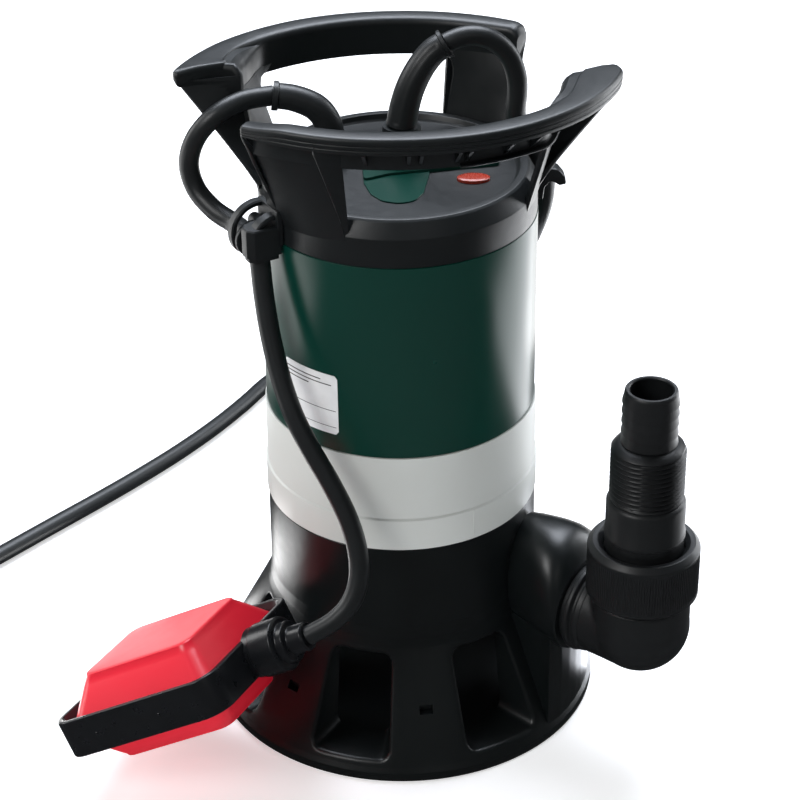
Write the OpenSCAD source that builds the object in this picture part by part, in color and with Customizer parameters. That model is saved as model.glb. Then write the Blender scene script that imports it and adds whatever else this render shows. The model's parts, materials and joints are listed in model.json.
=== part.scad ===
// Submersible dirty-water pump with float switch, elbow outlet and stepped hose adapter.
// Frame: millimetres, +Z up, origin on the pump axis at the underside of the foot,
// +X points along the outlet.

/* [Body] */
// Outer radius of the motor jacket
jacket_r = 61.5; // [60:0.25:62.5]
// Outer radius of the foot flare
foot_r = 92; // [88:0.5:96]
// Height of the strainer base
base_h = 109; // [107:0.5:111]
// Height of the top edge of the collar ring
ring_top = 156.5; // [150:0.5:160]
// Height of the top edge of the motor jacket
jacket_top = 249.5; // [246:0.5:250]
// Wall thickness of the mouldings
wall = 2.6; // [2:0.1:3]

/* [Strainer] */
// Angular pitch of the seven intake windows; the outlet housing takes the eighth place
window_pitch = 48.8; // [48:0.1:49]
// Direction of the first intake window
window_first = -19.5; // [-21:0.5:-19]
// Angular width of a window in degrees
window_angle = 24.4; // [20:0.2:25]
// Lower edge of the windows
window_z0 = 9.5; // [8:0.5:14]
// Upper edge of the windows
window_z1 = 53; // [44:0.5:53]

/* [Handle] */
// Direction of the front bow in degrees
bow_dir = -50.6; // [-52:0.1:-49]
// Outer radius of a bow in plan
bow_r = 103; // [100:0.5:105]
// Distance of the bow centre behind the pump axis
bow_off = 31; // [29:0.5:33]
// Height of the top of the bows
bow_top = 313; // [305:0.5:320]
// Width of the grip
grip_w = 11.5; // [10:0.5:14]

/* [Outlet] */
// Height of the outlet axis
out_z = 68; // [67:0.5:69]
// Sideways offset of the outlet axis from the pump axis
out_y = 16; // [15:0.5:17]
// Distance of the upright hose adapter along the outlet
adapter_x = 125; // [123:0.5:128]
// Radius of the small hose barb
barb_r = 12.5; // [12:0.1:13]
// Radius of the pipe thread over its crests
thread_r = 16.62; // [16:0.01:17]
// Radius of the large hose barb
big_barb_r = 17.65; // [17:0.05:17.9]
// Height of the adapter's mouth
adapter_top = 193; // [185:1:200]

/* [Float] */
// Length of the float along its cable
float_l = 91; // [80:1:94]
// Width of the float
float_w = 88; // [76:1:92]
// Thickness of the float
float_h = 44; // [40:1:46]
// Height of the rim band of the float
band_h = 18; // [14:1:20]

/* [Cables] */
// Diameter of the cables
cable_d = 9; // [8:0.1:9]
// Sides of a cable tube
cable_sides = 10; // [8:1:12]

/* [Hidden] */
$fn = 64;
e = 0.01;
cr_ = cable_d / 2;

// Colours
c_black = [0.07, 0.07, 0.075];
c_green = [0.02, 0.19, 0.14];
c_grey = [0.72, 0.73, 0.70];
c_red = [0.85, 0.10, 0.14];
c_steel = [0.72, 0.73, 0.75];
c_copper = [0.72, 0.42, 0.25];

// Float position: centre, then roll, pitch and yaw
float_c = [-34, -121, 48];
float_rot = [-9, -30, 20.5];
// Pivot of the float cable in the clip
pivot = [-25, -65, 250];
pivot_dir = -22;
// Coil centre beside the pump
coil_c = [-318, -125, 0];

// Routes of the cables, in round millimetres
gland_m = [-4, 8];
gland_f = [-29, -10];
mains_sleeve_pts = [[-4, 8, 284], [-3, 9.3, 293], [-1, 11.3, 302], [2, 14.5, 310.4], [5.4, 18.5, 316.7], [9.2, 22.7, 320.2]];
mains_pts = [[9.2, 22.7, 320.2], [13, 26.9, 322.3], [16.8, 31.1, 322.9], [20.3, 35, 321.8], [23.5, 38.6, 319.2],
  [26.2, 41.6, 315.4], [28.3, 43.9, 310.6], [29.6, 45.3, 305.3], [30.3, 46, 300], [30.3, 46.2, 294], [29.8, 46, 288],
  [29.6, 47, 281.5], [31, 50, 274.8], [33.8, 54, 268], [36.3, 57, 260], [37.2, 59, 250], [35.5, 60, 238], [30, 62, 224],
  [20, 66, 205], [9, 70, 183], [0, 75, 155], [-8, 80, 125], [-18, 88, 94], [-33, 100, 62], [-55, 116, 33], [-84, 134, 13],
  [-114, 150, 5.2], [-142, 168, 4.8], [-166, 187, 4.8], [-190, 200, 4.8], [-214, 197, 4.8], [-228, 179, 4.8],
  [-228.5, 158, 4.8], [-223.6, 132, 4.8], [-219.4, 102, 4.8], [-217.2, 70, 4.8], [-217, 40, 4.8], [-218, 8, 4.8],
  [-220, -28, 4.8], [-221.6, -60, 4.8], [-223.4, -92, 4.8], [-224.4, -122, 4.8]];
float_sleeve_pts = [[-29, -10, 277], [-30, -11, 285], [-34, -14, 292], [-41, -20, 296.5], [-48, -26, 298]];
float_upper_pts = [[-48, -26, 298], [-54.3, -38.5, 298.1], [-60, -50, 293.6], [-66.6, -55.9, 283.6], [-70.2, -57.4, 271.1], [-66.8, -57.4, 260],
  [-56.9, -57.5, 253], [-46, -57.5, 250], [-36, -60.9, 250], [-29.5, -63.3, 250]];
float_lower_pts = [[-25, -65, 250], [-23, -66, 240], [-19.5, -68.5, 227], [-14, -71.5, 211], [-6.5, -74.5, 194],
  [2, -76.5, 179], [11.3, -76.5, 165], [20.6, -75.5, 151.5], [29.5, -75, 137], [36, -76.5, 123.5], [39.5, -80, 111.5],
  [39.2, -85.5, 101], [34.5, -92.2, 92.5], [25.6, -98.7, 84.8]];
// Plug inside the coil: place and heading
plug_c = [-334.44, -137.06, 19.3];
plug_turn = 156.29;

function unit(v) = v / norm(v);
function crom(a, b, c, d, t) = 0.5 * ((2 * b) + (c - a) * t + (2 * a - 5 * b + 4 * c - d) * t * t
  + (3 * b - a - 3 * c + d) * t * t * t);
// Smooth points through P, with m steps between neighbours
function smooth(P, m) = [for (i = [0:len(P) - 2]) for (k = [0:m - 1])
    crom(P[max(i - 1, 0)], P[i], P[i + 1], P[min(i + 2, len(P) - 1)], k / m), P[len(P) - 1]];
function tangents(S) = [for (i = [0:len(S) - 1]) unit(S[min(i + 1, len(S) - 1)] - S[max(i - 1, 0)])];
function carry(T, N, i, acc) = i >= len(T) ? acc :
  let (M = unit(N - (N * T[i]) * T[i])) carry(T, M, i + 1, concat(acc, [M]));

// A round tube of radius r0 to r1 swept along the points P
module sweep(P, r0, r1, m) {
  S = smooth(P, m);
  T = tangents(S);
  n = cable_sides;
  L = len(S);
  start = abs(T[0][2]) > 0.8 ? [1, 0, 0] : [0, 0, 1];
  N = carry(T, start, 0, []);
  pts = [for (i = [0:L - 1]) let (B = cross(T[i], N[i]), r = r0 + (r1 - r0) * i / (L - 1))
      for (j = [0:n - 1]) S[i] + r * (cos(360 * j / n) * N[i] + sin(360 * j / n) * B)];
  side = [for (i = [0:L - 2]) for (j = [0:n - 1]) let (a = i * n + j, b = i * n + (j + 1) % n,
      c = (i + 1) * n + (j + 1) % n, d = (i + 1) * n + j) for (f = [[a, d, c], [a, c, b]]) f];
  cap0 = [[for (j = [0:n - 1]) j]];
  cap1 = [[for (j = [0:n - 1]) L * n - 1 - j]];
  polyhedron(points = pts, faces = concat(side, cap0, cap1));
}

module ring(r1, r0, z0, z1) {
  translate([0, 0, z0]) difference() {
    cylinder(r = r1, h = z1 - z0);
    translate([0, 0, -1]) cylinder(r = r0, h = z1 - z0 + 2);
  }
}
module disc(r, z0, z1) translate([0, 0, z0]) cylinder(r = r, h = z1 - z0);
module sector(p, a0, a1) rotate([0, 0, a0]) rotate_extrude(angle = a1 - a0) polygon(p);
module along_x(x, z, r, h) translate([x, out_y, z]) rotate([0, 90, 0]) cylinder(r = r, h = h);
module between(r) for (k = [0:5]) rotate([0, 0, window_first - window_pitch * (k + 0.5)]) translate([r, 0, 0]) children();
module four(r, a = 45) for (k = [0:3]) rotate([0, 0, a + 90 * k]) translate([r, 0, 0]) children();
module in_float() translate(float_c) rotate(float_rot) children();
module rounded(l, w, r) {
  hull() for (x = [-1, 1]) for (y = [-1, 1]) translate([x * (l / 2 - r), y * (w / 2 - r)]) circle(r = r, $fn = 24);
}
module frustum(l0, w0, r0, l1, w1, r1, h) {
  hull() {
    linear_extrude(0.1) rounded(l0, w0, r0);
    translate([0, 0, h - 0.1]) linear_extrude(0.1) rounded(l1, w1, r1);
  }
}

// Strainer base with intake windows, outlet housing and flange
base_out = [[foot_r, 0], [foot_r, 4], [foot_r - 1.5, 6.5], [64.5, 56], [63.2, 60], [62.6, base_h], [59.6, base_h]];
module base_shell_solid() rotate_extrude($fn = 96) polygon(concat(base_out, [[0, base_h], [0, 0]]));
module base_inner() rotate_extrude($fn = 96) polygon([[0, -1], [foot_r - 3.4, -1], [foot_r - 3.4, 5], [61.2, 56.5],
    [59.6, 60], [59.6, base_h + 1], [0, base_h + 1]]);
// Pedestal and rounded bulge that carry the outlet duct
module outlet_housing() {
  intersection() {
    disc(foot_r, 0, 62);
    linear_extrude(62) polygon([[45, 4], [62.5, 0.6], [89.8, -4.6], [99, -6.4], [99, 52], [74, 49], [45, 33]]);
  }
  along_x(45, out_z, 24, 46);
  translate([75, out_y + 1.5, 76.5]) sphere(r = 25.5);
  translate([50, out_y - 15.4, 50]) cube([22, 32, 30]);
  along_x(91, out_z, 23.5, 3);
}
module windows_cut() for (k = [0:6]) rotate([0, 0, window_first - window_pitch * k])
  sector([[50, window_z0], [110, window_z0], [110, window_z1], [50, window_z1]], -window_angle / 2, window_angle / 2);
module strainer_base() color(c_black) difference() {
  union() {
    difference() {
      base_shell_solid();
      windows_cut();
    }
    outlet_housing();
  }
  base_inner();
  along_x(40, out_z, 15, 60);
  along_x(93.2, out_z, 19.6, 2);
  translate([94, -30, 0]) cube([20, 100, 120]);
  between(76) translate([0, 0, 30.2]) cube([16, 6.4, 3.6], center = true);
}

// Snap-in plate that closes the foot
module foot_plate() color(c_black) union() {
  disc(foot_r - 3.7, 0, 3.2);
  between(72) translate([-1.6, 0, 17]) cube([2.6, 6, 30], center = true);
  between(72) translate([1.4, 0, 30.2]) cube([5, 6, 2.8], center = true);
}

// Pump chamber with the inlet eye and side outlet
module volute() color([0.16, 0.16, 0.17]) difference() {
  disc(58, 50, 93);
  disc(49.5, 53.5, 94);
  disc(18, 49, 54);
  along_x(20, out_z, 15, 40);
  rotate([0, 0, 45]) four(54) disc(2.2, 49, 94);
}

module impeller() color([0.2, 0.2, 0.21]) difference() {
  union() {
    disc(42, 78, 81);
    disc(12, 62, 81);
    for (k = [0:5]) rotate([0, 0, 60 * k]) translate([10, -1.5, 62]) cube([30, 3, 17]);
  }
  disc(6, 50, 90);
}
module impeller_nut() color(c_steel) difference() {
  translate([0, 0, 55.5]) cylinder(r = 8, h = 6.3, $fn = 6);
  disc(6, 50, 64);
}
module seal_plate() color([0.3, 0.3, 0.32]) difference() {
  disc(59.2, 93, 99);
  disc(12, 92, 100);
  rotate([0, 0, 45]) four(54) disc(2.2, 92, 100);
}
module seal_seat() color([0.8, 0.8, 0.78]) ring(12, 6.8, 93, 99);
module seal_ring() color([0.15, 0.15, 0.16]) ring(10, 6, 87.6, 92.6);
module seal_spring() color(c_steel) for (k = [0:2]) ring(9, 7.6, 81.6 + 2 * k, 82.8 + 2 * k);
module oil_chamber() color([0.45, 0.46, 0.48]) ring(49, 45.5, 99, 113);
module bearing_plate() color([0.5, 0.51, 0.53]) difference() {
  disc(59.2, 113, 123);
  disc(16, 112, 124);
  rotate([0, 0, 45]) four(54) disc(2.2, 112, 120);
  rotate([0, 0, 22.5]) four(53) disc(2.2, 115, 124);
}
module bearing(z) difference() {
  ring(16, 6.05, z, z + 9);
  for (s = [-1, 10 - 1 - 0.4]) ring(13, 9.5, z + s, z + s + 1.4);
}
module lower_bearing() color(c_steel) bearing(113.5);
module upper_bearing() color(c_steel) bearing(218);
module upper_shield() color([0.5, 0.51, 0.53]) ring(45.7, 16, 217.5, 227.5);
module shaft() color(c_steel) disc(6, 54, 229);
module rotor_core() color([0.55, 0.55, 0.57]) ring(24, 6, 139, 197);
module stator_core() color([0.4, 0.4, 0.43]) difference() {
  disc(45.7, 138, 198);
  disc(24.5, 137, 199);
}
module windings() color(c_copper) union() {
  ring(42, 27, 126, 138);
  ring(42, 27, 198, 210);
}
module motor_can() color(c_steel) ring(47, 45.7, 123, 238);
module can_lid() color(c_steel) difference() {
  disc(47, 238, 239.5);
  translate([-16, 0, 0]) disc(5, 237, 241);
}
module capacitor() color([0.85, 0.85, 0.83]) translate([24, 26, 251]) rotate([90, 0, 0]) cylinder(r = 11, h = 52);
module terminal_block() color([0.9, 0.9, 0.86]) translate([-24, 25, 239.6]) cube([30, 12, 11]);

// Light grey collar between the strainer base and the motor jacket
module collar_ring() color(c_grey) difference() {
  rotate_extrude($fn = 96) polygon([[62.9, 109], [62.9, 124.6], [62.3, 125.2], [62.1, ring_top], [58.7, ring_top],
    [58.7, 162], [56.4, 162], [56.4, 154], [59.4, 151], [59.4, 109]]);
  rotate([0, 0, -20]) translate([62.9, 0, 118]) cube([1, 0.8, 13.4], center = true);
}
module lower_oring() color(c_black) ring(58.8, 56.8, 162, 164.4);
module upper_oring() color(c_black) ring(58.8, 56.8, 243, 245.4);
module motor_jacket() color(c_green) ring(jacket_r, jacket_r - wall, ring_top, jacket_top);

// One bow: grip channel swept about the bow centre, between arc angles t0 and t1
module bow(t0, t1) rotate([0, 0, bow_dir]) translate([-bow_off, 0, 0])
  sector([[bow_r, bow_top - 1.5], [bow_r - 1.5, bow_top], [bow_r - grip_w + 1.5, bow_top], [bow_r - grip_w, bow_top - 1.5],
    [bow_r - grip_w, bow_top - 17.5], [bow_r - grip_w + 2.6, bow_top - 17.5], [bow_r - grip_w + 2.6, bow_top - 4],
    [bow_r - 2.6, bow_top - 4], [bow_r - 2.6, bow_top - 7.5], [bow_r, bow_top - 7.5]], t0, t1);
// One leg between the skirt (angles a0..a1) and the bow (arc angles t0..t1)
module leg(a0, a1, t0, t1) hull() {
  sector([[60.9, 256], [60.9, 263], [57.6, 263], [57.6, 256]], a0, a1);
  rotate([0, 0, bow_dir]) translate([-bow_off, 0, 0])
    sector([[bow_r - 0.4, bow_top - 7.4], [bow_r - 0.4, bow_top - 4.4], [bow_r - 9, bow_top - 4.4], [bow_r - 9, bow_top - 7.4]], t0, t1);
}
module half_handle() {
  bow(-40, 70);
  leg(-112, -72, -39, -19);
  leg(-3, 20, 43, 68);
  rotate([0, 0, bow_dir]) translate([-bow_off, 0, 0]) {
    for (t = [-8, 4, 15, 27, 35, 44]) rotate([0, 0, t]) translate([bow_r - grip_w + 2, -0.9, bow_top - 12]) cube([grip_w - 4, 1.8, 9]);
    sector([[bow_r - grip_w, bow_top - 17.5], [bow_r - 3, bow_top - 7.5], [bow_r - 3, bow_top - 4], [bow_r - grip_w, bow_top - 4]], -40, -37);
    sector([[bow_r - grip_w, bow_top - 17.5], [bow_r - 3, bow_top - 7.5], [bow_r - 3, bow_top - 4], [bow_r - grip_w, bow_top - 4]], 67, 70);
  }
}
// Cap with the two handle bows
module handle_cap() color(c_black) difference() {
  union() {
    rotate_extrude($fn = 96) polygon([[61.2, jacket_top], [61.2, 262.8], [60.4, 263.5], [57, 269.6], [56, 270], [53, 270], [53, 267],
      [0, 267], [0, 264], [57.5, 264], [57.5, 252], [56.4, 251], [56.4, 245.4], [58.7, 245.4], [58.7, jacket_top]]);
    rotate([0, 0, 22.5]) four(53) disc(4.4, 252, 265);
    half_handle();
    rotate([0, 0, 180]) half_handle();
  }
  translate([gland_m[0], gland_m[1], 0]) disc(8, 260, 275);
  translate([gland_f[0], gland_f[1], 0]) disc(7, 260, 275);
  rotate([0, 0, 22.5]) four(53) disc(2.2, 240, 262);
  rotate([0, 0, -112]) translate([61.25, -10.2, 243]) cube([18, 20.4, 23.2]);
}
module cap_inlay() color(c_green) difference() {
  rotate([0, 0, bow_dir]) translate([0, 0, 267]) linear_extrude(1.4) union() {
    translate([1, -17]) square([13, 45]);
    translate([14, -1.5]) circle(r = 14);
  }
  translate([gland_m[0], gland_m[1], 0]) disc(12.3, 260, 275);
  translate([33, 11, 0]) disc(7.6, 260, 275);
}
module cap_badge() color([0.85, 0.22, 0.12]) translate([33, 11, 0]) disc(7.5, 267, 268.6);
module rating_label() color([0.93, 0.93, 0.92])
  sector([[jacket_r, 165], [jacket_r + 0.25, 165], [jacket_r + 0.25, 194.5], [jacket_r, 194.5]], -106, -77.5);

module mains_gland() color(c_black) translate([gland_m[0], gland_m[1], 0]) union() {
  disc(7.9, 258, 267);
  disc(12, 267, 275);
  disc(8.5, 275, 284);
}
module mains_sleeve() color(c_black) sweep(mains_sleeve_pts, 6.8, 5.6, 2);
module float_cable_gland() color(c_black) translate([gland_f[0], gland_f[1], 0]) union() {
  disc(6.9, 258, 267);
  disc(10, 267, 273);
  disc(7.5, 273, 277);
}
module float_sleeve() color(c_black) sweep(float_sleeve_pts, 6.4, 5.6, 2);

// Yoke that holds the float cable on the left of the cap
module cable_clip() color(c_black) rotate([0, 0, -112]) difference() {
  union() {
    translate([61.3, -10, 249.7]) cube([2.6, 20, 16.3]);
    for (s = [-1, 1]) translate([61.8, s * 8 - (s > 0 ? 0.3 : 1.4), s > 0 ? 246.5 : 244]) cube([s > 0 ? 11.2 : 14.5, s > 0 ? 1.7 : 2.8, s > 0 ? 15.5 : 18]);
  }
  translate([69.64, 0, 250]) rotate([90, 0, 0]) cylinder(r = 5.3, h = 30, center = true);
}
// Hook for the mains cord on the right of the cap
module cord_hook() color(c_black) rotate([0, 0, 43]) translate([0, 4, 0]) rotate([90, 0, 0]) linear_extrude(8)
  polygon([[61.3, 251], [61.3, 264], [67, 266], [72, 263.5], [75.6, 257.5], [75.8, 253.5], [73.4, 253], [71.2, 257],
    [68, 260], [64.2, 259], [63.6, 251]]);

// Screws that clamp the pump chamber and the seal plate to the bearing plate
module tie_screws() color(c_steel) rotate([0, 0, 45]) four(54) union() {
  disc(3.6, 46.8, 50);
  disc(2, 50, 119);
}
// Rods that pull the cap down on the bearing plate
module tie_rods() color(c_steel) rotate([0, 0, 22.5]) four(53) disc(2, 115, 261);

// Elbow that turns the outlet upright
module at_adapter() translate([adapter_x, out_y, 0]) children();
module outlet_elbow() color(c_black) difference() {
  union() {
    along_x(94, out_z, 20, 2.6);
    along_x(96.6, out_z, 22.2, 2.4);
    along_x(99, out_z, 20.2, adapter_x - 99);
    at_adapter() disc(22.3, out_z + 2.5, 87.4);
    at_adapter() translate([0, 0, out_z + 2.5]) sphere(r = 22.5);
    at_adapter() disc(20.3, 87, 104.3);
  }
  along_x(87, out_z, 15, adapter_x - 87);
  at_adapter() disc(15, out_z, 120);
  at_adapter() translate([0, 0, out_z]) sphere(r = 15);
}
module outlet_oring() color(c_black) translate([93.3, out_y, out_z]) rotate([0, 90, 0]) ring(19.4, 15.6, 0, 0.7);
module union_nut() color(c_black) at_adapter() rotate_extrude() polygon([[23.8, 88.5], [25.2, 89.9], [25.2, 114],
    [23.6, 115.6], [18.35, 115.6], [18.35, 109.4], [20.8, 109.4], [20.8, 92], [22, 88.5]]);
module union_gasket() color([0.25, 0.25, 0.25]) at_adapter() ring(20.2, 17.3, 104.3, 106.1);
module hose_adapter() color(c_black) at_adapter() difference() {
  union() {
    disc(20.2, 106.4, 109.1);
    disc(big_barb_r, 109, 138);
    disc(thread_r, 138, 165);
    translate([0, 0, 165]) cylinder(r1 = 15.6, r2 = barb_r, h = 1.8);
    disc(barb_r, 165, adapter_top);
  }
  disc(13.4, 106, 160);
  disc(9.3, 159, adapter_top + 1);
}

// Float: two half shells clamped in a rim band
module shell_half() difference() {
  union() {
    frustum(float_l - 8, float_w - 8, 8, 62, 50, 6, float_h / 2 - 1);
  }
  translate([0, 0, -1]) frustum(float_l - 13, float_w - 13, 6, 57, 45, 4, float_h / 2 - 2.5);
}
module float_shell_upper() color(c_red) in_float() translate([0, 0, 1]) shell_half();
module float_shell_lower() color(c_red) in_float() mirror([0, 0, 1]) translate([0, 0, 1]) shell_half();
module float_band() color(c_black) in_float() difference() {
  translate([0, 0, -band_h / 2]) linear_extrude(band_h) rounded(float_l, float_w, 11);
  translate([0, 0, 1]) frustum(float_l - 7.6, float_w - 7.6, 8.2, 62.4, 50.4, 6.2, float_h / 2 - 1);
  mirror([0, 0, 1]) translate([0, 0, 1]) frustum(float_l - 7.6, float_w - 7.6, 8.2, 62.4, 50.4, 6.2, float_h / 2 - 1);
  translate([0, 0, -2]) linear_extrude(4) rounded(float_l - 14, float_w - 14, 8);
}
module float_gland() color(c_black) in_float() union() {
  translate([float_l / 2, 0, 0]) rotate([0, 90, 0]) cylinder(r = 12.5, h = 17);
  translate([float_l / 2 + 17, 0, 0]) rotate([0, 90, 0]) cylinder(r = 8.5, h = 11);
}
module ball_tube() color([0.85, 0.85, 0.82]) in_float() translate([-24, 0, 0]) rotate([0, 90, 0]) difference() {
  cylinder(r = 9.4, h = 36);
  translate([0, 0, 2]) cylinder(r = 7.4, h = 40);
}
module float_ball() color(c_steel) in_float() translate([-14.5, 0, 0]) sphere(r = 7);
module float_switch() color([0.2, 0.2, 0.22]) in_float() difference() {
  translate([16, -10, -8]) cube([16, 20, 16]);
  translate([15, 0, 0]) rotate([0, 90, 0]) cylinder(r = 2.4, h = 12);
}
module switch_plunger() color([0.8, 0.2, 0.15]) in_float() translate([14, 0, 0]) rotate([0, 90, 0]) cylinder(r = 2, h = 8);

module float_cable_upper() color(c_black) sweep(float_upper_pts, cr_, cr_, 2);
module float_cable_lower() color(c_black) union() {
  sweep(float_lower_pts, cr_, cr_, 2);
}
module mains_cord() color(c_black) sweep(mains_pts, cr_, cr_, 1);
module cord_coil() color(c_black) translate(coil_c) ring(98, 61.8, 0.3, 45.6);
module cord_plug() color(c_black) translate(plug_c) rotate([0, 0, plug_turn]) rotate([0, 90, 0]) union() {
  translate([0, 0, -30]) cylinder(r1 = 8, r2 = 15, h = 18);
  translate([0, 0, -12]) cylinder(r = 19, h = 34);
}
module plug_pins() color(c_steel) translate(plug_c) rotate([0, 0, plug_turn]) for (s = [-1, 1])
  translate([22, s * 9.5, 0]) rotate([0, 90, 0]) cylinder(r = 2.4, h = 19);

strainer_base();
foot_plate();
volute();
impeller();
impeller_nut();
seal_plate();
seal_seat();
seal_ring();
seal_spring();
oil_chamber();
bearing_plate();
lower_bearing();
upper_bearing();
upper_shield();
shaft();
rotor_core();
stator_core();
windings();
motor_can();
can_lid();
capacitor();
terminal_block();
collar_ring();
lower_oring();
upper_oring();
motor_jacket();
handle_cap();
cap_inlay();
cap_badge();
rating_label();
mains_gland();
mains_sleeve();
float_cable_gland();
float_sleeve();
cable_clip();
cord_hook();
tie_screws();
tie_rods();
outlet_elbow();
outlet_oring();
union_nut();
union_gasket();
hose_adapter();
float_shell_upper();
float_shell_lower();
float_band();
float_gland();
ball_tube();
float_ball();
float_switch();
switch_plunger();
float_cable_upper();
float_cable_lower();
mains_cord();
cord_coil();
cord_plug();
plug_pins();
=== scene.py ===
import json
import math

import bmesh
import bpy
import numpy as np
from mathutils import Matrix, Vector


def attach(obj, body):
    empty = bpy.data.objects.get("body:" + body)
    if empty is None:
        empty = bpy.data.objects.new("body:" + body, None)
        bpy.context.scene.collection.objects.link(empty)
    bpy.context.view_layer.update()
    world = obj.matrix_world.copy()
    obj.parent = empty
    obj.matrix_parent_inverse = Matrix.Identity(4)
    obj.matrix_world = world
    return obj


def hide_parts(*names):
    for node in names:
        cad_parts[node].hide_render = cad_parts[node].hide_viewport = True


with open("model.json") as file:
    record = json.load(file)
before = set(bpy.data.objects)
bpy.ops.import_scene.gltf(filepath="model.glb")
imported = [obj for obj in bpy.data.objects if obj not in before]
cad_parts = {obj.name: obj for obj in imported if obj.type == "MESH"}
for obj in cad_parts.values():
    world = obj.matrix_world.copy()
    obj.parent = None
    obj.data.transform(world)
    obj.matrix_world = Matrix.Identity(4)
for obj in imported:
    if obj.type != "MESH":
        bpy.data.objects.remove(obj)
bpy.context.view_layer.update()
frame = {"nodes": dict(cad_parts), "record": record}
scene = bpy.context.scene
MM = 0.001
sin, cos, pi, rad = math.sin, math.cos, math.pi, math.radians


# ---------------------------------------------------------------- camera
cam_data = bpy.data.cameras.new("camera")
cam = bpy.data.objects.new("camera", cam_data)
scene.collection.objects.link(cam)
fw = Vector((-0.53933, 0.67022, -0.50983)).normalized()
right = Vector((0.78319, 0.62168, -0.01125)).normalized()
up = right.cross(fw).normalized()
right = fw.cross(up).normalized()
rot = Matrix((right, up, -fw)).transposed().to_4x4()
cam.matrix_world = Matrix.Translation(Vector((0.57238, -0.7118, 0.69119))) @ rot
cam_data.sensor_fit = "HORIZONTAL"
cam_data.sensor_width = 36.0
cam_data.lens = 2300 / 800 * 36.0
cam_data.clip_start = 0.02
cam_data.clip_end = 50
scene.camera = cam


# ---------------------------------------------------------------- materials
def tree(name):
    m = bpy.data.materials.new(name)
    m.use_nodes = True
    nt = m.node_tree
    return m, nt, nt.nodes["Principled BSDF"]


def coords(nt, scale=(1, 1, 1)):
    tc = nt.nodes.new("ShaderNodeTexCoord")
    mp = nt.nodes.new("ShaderNodeMapping")
    mp.inputs["Scale"].default_value = scale
    nt.links.new(tc.outputs["Object"], mp.inputs["Vector"])
    return mp.outputs["Vector"]


def noise_of(nt, vec, scale, detail=3, rough=0.55):
    n = nt.nodes.new("ShaderNodeTexNoise")
    n.inputs["Scale"].default_value = scale
    n.inputs["Detail"].default_value = detail
    n.inputs["Roughness"].default_value = rough
    nt.links.new(vec, n.inputs["Vector"])
    return n.outputs["Fac"]


def ramp(nt, fac, stops):
    r = nt.nodes.new("ShaderNodeValToRGB")
    r.color_ramp.elements[0].position = stops[0][0]
    r.color_ramp.elements[0].color = (*stops[0][1], 1)
    r.color_ramp.elements[1].position = stops[-1][0]
    r.color_ramp.elements[1].color = (*stops[-1][1], 1)
    for p, c in stops[1:-1]:
        e = r.color_ramp.elements.new(p)
        e.color = (*c, 1)
    nt.links.new(fac, r.inputs["Fac"])
    return r.outputs["Color"]


def ranged(nt, fac, lo, hi, a=0.3, b=0.7):
    m = nt.nodes.new("ShaderNodeMapRange")
    m.inputs["From Min"].default_value = a
    m.inputs["From Max"].default_value = b
    m.inputs["To Min"].default_value = lo
    m.inputs["To Max"].default_value = hi
    nt.links.new(fac, m.inputs["Value"])
    return m.outputs["Result"]


def bump_of(nt, bsdf, height, strength, dist):
    b = nt.nodes.new("ShaderNodeBump")
    b.inputs["Strength"].default_value = strength
    b.inputs["Distance"].default_value = dist
    nt.links.new(height, b.inputs["Height"])
    nt.links.new(b.outputs["Normal"], bsdf.inputs["Normal"])
    return b


def surface(name, ca, cb, r0, r1, *, cloud=45, grain=2600, bump=0.25, dist=0.00006, spec=0.5, coat=0.0,
            coat_rough=0.2, metal=0.0, stretch=(1, 1, 1), sheen=0.0):
    """A moulded, rubber or metal finish: clouded colour, mottled roughness and a fine grain."""
    m, nt, b = tree(name)
    vec = coords(nt, stretch)
    nt.links.new(ramp(nt, noise_of(nt, vec, cloud, 2, 0.45), [(0.0, ca), (1.0, cb)]), b.inputs["Base Color"])
    nt.links.new(ranged(nt, noise_of(nt, vec, cloud * 5, 1, 0.4), r0, r1, 0.0, 1.0), b.inputs["Roughness"])
    bump_of(nt, b, noise_of(nt, vec, grain, 2, 0.6), bump, dist)
    b.inputs["Specular IOR Level"].default_value = spec
    b.inputs["Coat Weight"].default_value = coat
    b.inputs["Coat Roughness"].default_value = coat_rough
    b.inputs["Metallic"].default_value = metal
    b.inputs["Sheen Weight"].default_value = sheen
    return m


black = surface("black_plastic", (0.0042, 0.0062, 0.0066), (0.0066, 0.0088, 0.0092), 0.30, 0.40, spec=0.5, bump=0.25)
black_cap = surface("black_cap_plastic", (0.0060, 0.0080, 0.0088), (0.0088, 0.0110, 0.0120), 0.36, 0.47, spec=0.5, bump=0.5)
black_gloss = surface("black_gloss_plastic", (0.0055, 0.0062, 0.0075), (0.0085, 0.0092, 0.0108), 0.24, 0.34, spec=0.5, bump=0.15)
black_nut = surface("black_adapter_plastic", (0.0075, 0.0088, 0.0096), (0.0115, 0.0128, 0.0138), 0.38, 0.50, spec=0.5, bump=0.4,
                    grain=1800)
rubber = surface("black_rubber", (0.0085, 0.0105, 0.0112), (0.0130, 0.0150, 0.0158), 0.36, 0.48, spec=0.5, bump=0.3, cloud=90,
                 grain=3600)
green = surface("green_plastic", (0.0003, 0.036, 0.0245), (0.0005, 0.041, 0.0280), 0.27, 0.30, spec=0.5, bump=0.05, cloud=14, grain=420, dist=0.00002)
grey = surface("grey_plastic", (0.55, 0.565, 0.53), (0.59, 0.605, 0.57), 0.39, 0.43, spec=0.45, bump=0.06, cloud=20, grain=500, dist=0.00002)
red = surface("red_plastic", (0.76, 0.012, 0.030), (0.82, 0.016, 0.038), 0.29, 0.33, spec=0.55, bump=0.06, cloud=25, grain=450, dist=0.00002)
dark = surface("dark_plastic", (0.02, 0.02, 0.022), (0.032, 0.032, 0.034), 0.45, 0.6, bump=0.35)
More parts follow.
